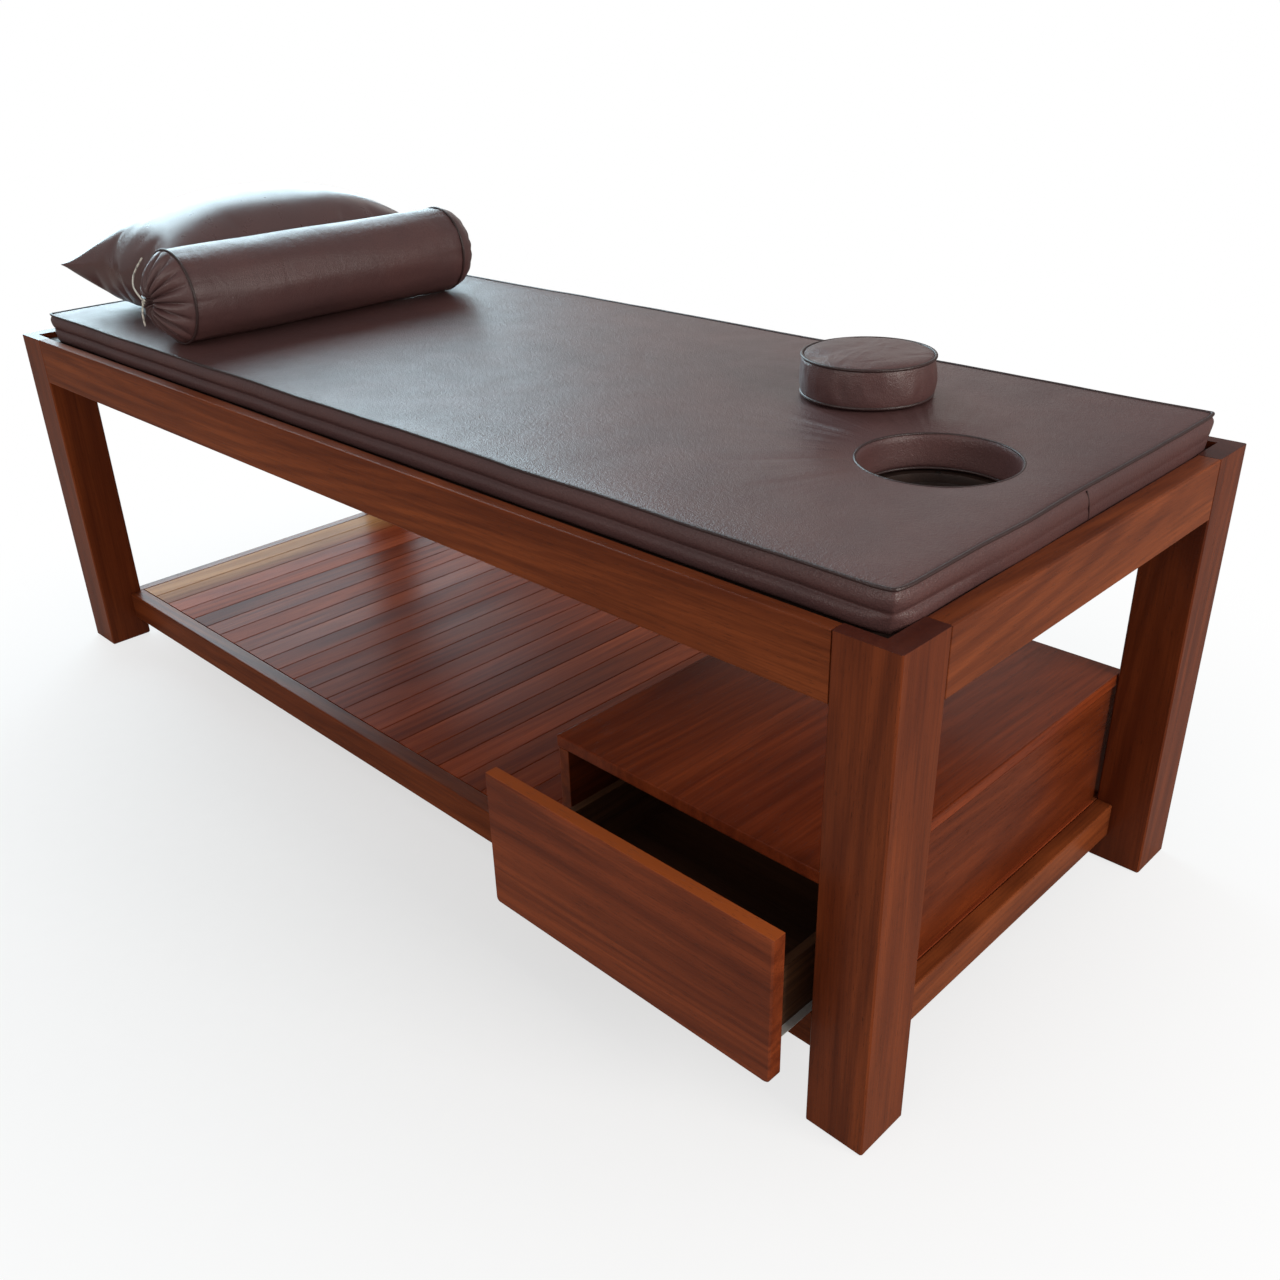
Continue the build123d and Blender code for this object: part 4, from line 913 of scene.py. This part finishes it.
class MASSAGEBED_OT_pillow(bpy.types.Operator):
    """Stuffed pillow that lies behind the bolster, blown up as cloth from a flat cover"""

    bl_idname = "massagebed.pillow"
    bl_label = "Pillow"

    def execute(self, context):
        low, high = (Vector(corner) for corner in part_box("pillow"))
        bm = bmesh.new()
        width, length = 0.47, 0.73
        bmesh.ops.create_grid(bm, x_segments=54, y_segments=84, size=0.5)
        bmesh.ops.scale(bm, vec=(width, length, 1), verts=bm.verts)
        for vert in bm.verts:
            side = 1 - abs(vert.co.y) / (length / 2)
            end = 1 - abs(vert.co.x) / (width / 2)
            vert.co.x *= 1 - 0.035 * sin(pi * min(1, side))
            vert.co.y *= 1 - 0.03 * sin(pi * min(1, end))
            vert.co.z += rumple(vert.co, 0.05, 0.002, seed=1.0)
        made = bmesh.ops.extrude_face_region(bm, geom=bm.faces[:])
        bmesh.ops.translate(bm, vec=(0, 0, 0.006), verts=new_verts(made))
        mesh = subdivided(calmed(inflated("pillow_cover", bm, 9.0, 42), 0.45, 60))
        least, most = (Vector([pick(vert.co[axis] for vert in mesh.vertices) for axis in range(3)])
                       for pick in (min, max))
        sunk = 0.03
        bed = 0.02
        size = high - low + Vector((0, 0, sunk))
        seam = low.z + 0.42 * (high.z - low.z)
        for vert in mesh.vertices:
            share = Vector([(vert.co[axis] - least[axis]) / (most[axis] - least[axis]) for axis in range(3)])
            place = Vector((low.x + share.x * size.x, low.y + share.y * size.y, low.z - sunk + share.z * size.z))
            if place.z > seam:
                place.z = seam + (place.z - seam) * (1.08 - 0.5 * ((share.y - 0.47) / 0.5) ** 2)
            if place.z < low.z + bed:
                place.z = low.z + bed * exp((place.z - low.z - bed) / bed)
            vert.co = place
        finish = [leatherette("pillow_leatherette", gloss=-0.1, crinkle=0.0001, shine=1.0, cells_height=0)]
        piece = to_piece("pillow_cover", mesh, finish, "pillow", ["pillow"])
        return {"FINISHED"}


def repaint(name, material):
    """Give a CAD node its material."""
    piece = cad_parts[name]
    if not piece.material_slots:
        piece.data.materials.append(material)
    for place in piece.material_slots:
        place.link = "OBJECT"
        place.material = material


def soften(name, width):
    """Weld a CAD node and round its edges a little."""
    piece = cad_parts[name]
    weld = piece.modifiers.new("Weld", "WELD")
    weld.merge_threshold = 0.00002
    edges = piece.modifiers.new("Bevel", "BEVEL")
    edges.width = width
    edges.segments = 2
    edges.limit_method = "ANGLE"
    edges.angle_limit = radians(35)
    edges.use_clamp_overlap = True


class MASSAGEBED_OT_woodwork(bpy.types.Operator):
    """Lacquered frame, shelf, cabinet and drawer front, and the plain boards inside"""

    bl_idname = "massagebed.woodwork"
    bl_label = "Woodwork"

    def execute(self, context):
        wood = context.scene.massage_bed_wood
        long_boards = lacquered_wood("teak_lengthwise", "X", tone=(0.95, 0.93, 0.86), coat=0.0, shine=0.09)
        cross_boards = lacquered_wood("teak_crosswise", "Y", tone=(0.94, 0.94, 0.9), shine=0.12)
        leg_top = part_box("leg_front_left")[1][2]
        # The legs' tops get a dark colour: end grain, darkened further as painted shade under the mattress's
        # corners.
        upright = lacquered_wood("teak_upright", "Z", tone=(0.78, 0.7, 0.66), shine=0.14,
                                 ends=(leg_top, (0.05, 0.012, 0.01, 1)))
        # lit_end paints light on the leftmost slats, where it reaches in under the bed.
        slats = lacquered_wood("teak_slats", "Y", tone=(1.15, 0.9, 0.95), boards=("X", -0.92, 0.0541177),
                               spread=0.22, gloss=0.04, coat=0.0, shine=0.035, lit_end=-0.88)
        panels = lacquered_wood("teak_panels", "Y", tone=(1.0, 0.78, 0.74), boards=("X", 0.655, 0.26), spread=0.15,
                                gloss=-0.02, coat=0.03, shine=0.12)
        # The cabinet's sides are a darker copy of the panels' teak: painted shade on the sides.
        shaded_sides = lacquered_wood("teak_sides", "Y", tone=(0.76, 0.62, 0.55), coat=0.03, shine=0.14)
        front_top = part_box("drawer_front")[1][2]
        # The drawer front's top face is lighter: a painted highlight along its top edge.
        front = lacquered_wood("teak_front", "X", tone=(1.08, 0.94, 0.9), gloss=-0.04,
                               ends=(front_top, (0.46, 0.105, 0.024, 1)))
        hidden = lacquered_wood("teak_unseen", "Y", gloss=0.25, coat=0.0)
        bare, bare_back = (pale_wood(name, grain, (0.17, 0.07, 0.027, 1), (0.085, 0.033, 0.013, 1))
                           for name, grain in (("bare_wood", "Y"), ("bare_wood_back", "X")))
        # The base board and the hole stiffener are near black: painted shade inside the face hole.
        shaded_board = pale_wood("hole_shade_board", "X", (0.035, 0.014, 0.008, 1), (0.016, 0.007, 0.005, 1), 0.4)
        # The cabinet back and the drawer bottom are dark brown board, darkened further as painted shade inside the
        # cabinet and the drawer.
        panel = pale_wood("brown_panel", "X", (0.13, 0.05, 0.021, 1), (0.07, 0.026, 0.011, 1), 0.4)
        beech = pale_wood("beech", "Z", (0.62, 0.45, 0.28, 1), (0.5, 0.33, 0.19, 1))
        finishes = {
            "shelf_slats": slats, "cabinet_top": panels, "cabinet_side_left": shaded_sides, "cabinet_side_right": shaded_sides,
            "cabinet_back": panel, "drawer_bottom": panel, "base_board": shaded_board, "hole_stiffener": shaded_board,
            "drawer_front": front, "drawer_side_left": bare, "drawer_side_right": bare, "drawer_back": bare_back,
            "cabinet_dowels": beech, "drawer_dowels": beech,
        }
        for names, material in ((LONG_BOARDS, long_boards), (CROSS_BOARDS, cross_boards), (LEGS, upright),
                                (BEARERS, hidden)):
            finishes.update(dict.fromkeys(names, material))
        for name, material in finishes.items():
            repaint(name, material)
            soften(name, 0.0003 if name in ("shelf_slats", "cabinet_dowels", "drawer_dowels") else wood.edge_round)
        return {"FINISHED"}


class MASSAGEBED_OT_hardware(bpy.types.Operator):
    """Roller runners, rollers, pins and screws"""

    bl_idname = "massagebed.hardware"
    bl_label = "Hardware"

    def execute(self, context):
        plated = zinc("zinc_plate")
        coated = epoxy("white_epoxy")
        turned = nylon("turned_nylon")
        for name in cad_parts:
            if "screws" in name or "pins" in name:
                repaint(name, plated)
            elif name.startswith("runner_"):
                repaint(name, coated)
                soften(name, 0.0003)
            elif name.startswith("roller_"):
                repaint(name, turned)
                soften(name, 0.0006)
        return {"FINISHED"}


def soft_light(name, place, aim, width, height, power, colour):
    """Large area light that the camera doesn't see."""
    lamp = bpy.data.lights.new(name, "AREA")
    lamp.shape = "RECTANGLE"
    lamp.size = width
    lamp.size_y = height
    lamp.energy = power
    lamp.color = colour
    holder = placed(name, lamp)
    holder.location = place
    holder.rotation_euler = (Vector(aim) - Vector(place)).to_track_quat("-Z", "Y").to_euler()
    holder.visible_camera = False


class MASSAGEBED_OT_stage(bpy.types.Operator):
    """Pale floor, soft lights and the camera"""

    bl_idname = "massagebed.stage"
    bl_label = "Stage"

    def execute(self, context):
        scene = context.scene
        stage = scene.massage_bed_stage
        lens = bpy.data.cameras.new("camera")
        lens.sensor_width = 36
        lens.lens = 34.687
        lens.shift_x = 0.01399
        lens.shift_y = 0.0044
        lens.clip_end = 200
        camera = placed("camera", lens)
        camera.location = (1.5263, -1.22564, 1.17737)
        camera.rotation_euler = Euler((radians(62.62217), radians(1.71469), radians(44.95067)))
        scene.camera = camera
        scene.view_settings.view_transform = "Standard"

        bm = bmesh.new()
        bmesh.ops.create_grid(bm, x_segments=8, y_segments=8, size=30)
        floor = placed("floor", mesh_from(bm, "floor"))
        material, tree = new_material("pale_floor")
        place = object_place(tree)
        speckle = mix(tree, noise_at(tree, place, 30.0, 3.0), (0.83, 0.83, 0.83, 1), (0.88, 0.88, 0.88, 1))
        dressed(material, {"Base Color": speckle, "Roughness": 0.9, "Specular IOR Level": 0.1})
        away = node(tree, "ShaderNodeVectorMath", {0: place}, operation="LENGTH").outputs["Value"]
        path = node(tree, "ShaderNodeLightPath").outputs
        share = maths(tree, "MULTIPLY", ramp(tree, away, 0.5, 1.7, 0.62, 1.0), path["Is Camera Ray"])
        # Painted reflection: glossy rays see the floor as a dim brown glow that stands for a dark room, and diffuse
        # rays half so.
        glow, dark = (node(tree, "ShaderNodeEmission", {"Color": colour, "Strength": 1.0}).outputs[0]
                      for colour in ((1, 1, 1, 1), (0.2, 0.15, 0.12, 1)))
        bounced = maths(tree, "ADD", maths(tree, "MULTIPLY", path["Is Glossy Ray"], 0.85),
                        maths(tree, "MULTIPLY", path["Is Diffuse Ray"], 0.5))
        plain = tree.nodes["Principled BSDF"].outputs[0]
        blended = node(tree, "ShaderNodeMixShader", {0: bounced, 1: plain, 2: dark}).outputs[0]
        blended = node(tree, "ShaderNodeMixShader", {0: share, 1: blended, 2: glow}).outputs[0]
        tree.links.new(blended, tree.nodes["Material Output"].inputs["Surface"])
        floor.data.materials.append(material)

        world = bpy.data.worlds.new("studio")
        world.use_nodes = True
        scene.world = world
        tree = world.node_tree
        path = node(tree, "ShaderNodeLightPath").outputs
        seen = maths(tree, "MAXIMUM", path["Is Camera Ray"], path["Is Transmission Ray"])
        strength = node(tree, "ShaderNodeMapRange", {0: seen, 1: 0.0, 2: 1.0, 3: stage.world_strength, 4: 1.0})
        dimmed = maths(tree, "MULTIPLY", maths(tree, "SUBTRACT", 1.0, seen), path["Is Glossy Ray"])
        dimmed = maths(tree, "SUBTRACT", 1.0, maths(tree, "MULTIPLY", dimmed, 0.2))
        set_inputs(tree, tree.nodes["Background"], {
            "Color": (1, 1, 1, 1), "Strength": maths(tree, "MULTIPLY", strength.outputs[0], dimmed)})

        pale = (0.68, 0.9, 1.0)
        warm = (1.0, 0.95, 0.88)
        soft_light("window", (-3.3, 1.1, 2.35), (-0.2, 0.0, 0.7), 2.6, 3.2, stage.key_power, pale)
        soft_light("far_window", (-1.5, 2.8, 1.8), (0.5, 0.0, 0.7), 2.2, 1.4, stage.key_power * 0.04, warm)
        soft_light("right", (4.3, 0.25, 2.0), (0.7, 0.0, 0.4), 1.8, 1.5, stage.fill_power, warm)
        soft_light("front", (0.5, -4.2, 2.4), (0.2, 0.0, 0.4), 2.4, 1.5, stage.fill_power * 0.42, warm)
        return {"FINISHED"}


class MASSAGEBED_PT_panel(bpy.types.Panel):
    """Sidebar panel with the bed's pieces and settings"""

    bl_idname = "MASSAGEBED_PT_panel"
    bl_label = "Massage bed"
    bl_space_type = "VIEW_3D"
    bl_region_type = "UI"
    bl_category = "Massage bed"

    def draw(self, context):
        layout = self.layout
        for name in OPERATORS:
            layout.operator(f"massagebed.{name}")
        for settings in SETTINGS:
            box = layout.box()
            group = getattr(context.scene, settings)
            for name in group.bl_rna.properties.keys():
                if name not in ("rna_type", "name"):
                    box.prop(group, name)


OPERATORS = ("stage", "drawstring", "mattress", "plug", "bolster", "pillow", "woodwork", "hardware")
SETTINGS = {"massage_bed_leather": LeatherSettings, "massage_bed_wood": WoodSettings,
            "massage_bed_cord": CordSettings, "massage_bed_stage": StageSettings}
CLASSES = (*SETTINGS.values(), MASSAGEBED_OT_stage, MASSAGEBED_OT_drawstring, MASSAGEBED_OT_mattress,
           MASSAGEBED_OT_plug, MASSAGEBED_OT_bolster, MASSAGEBED_OT_pillow, MASSAGEBED_OT_woodwork,
           MASSAGEBED_OT_hardware, MASSAGEBED_PT_panel)


def register():
    for item in CLASSES:
        bpy.utils.register_class(item)
    for name, group in SETTINGS.items():
        setattr(bpy.types.Scene, name, bpy.props.PointerProperty(type=group))


def unregister():
    for name in SETTINGS:
        delattr(bpy.types.Scene, name)
    for item in reversed(CLASSES):
        bpy.utils.unregister_class(item)


def main():
    """Dress the whole bed."""
    register()
    for name in OPERATORS:
        getattr(bpy.ops.massagebed, name)()


if __name__ == "__main__":
    main()
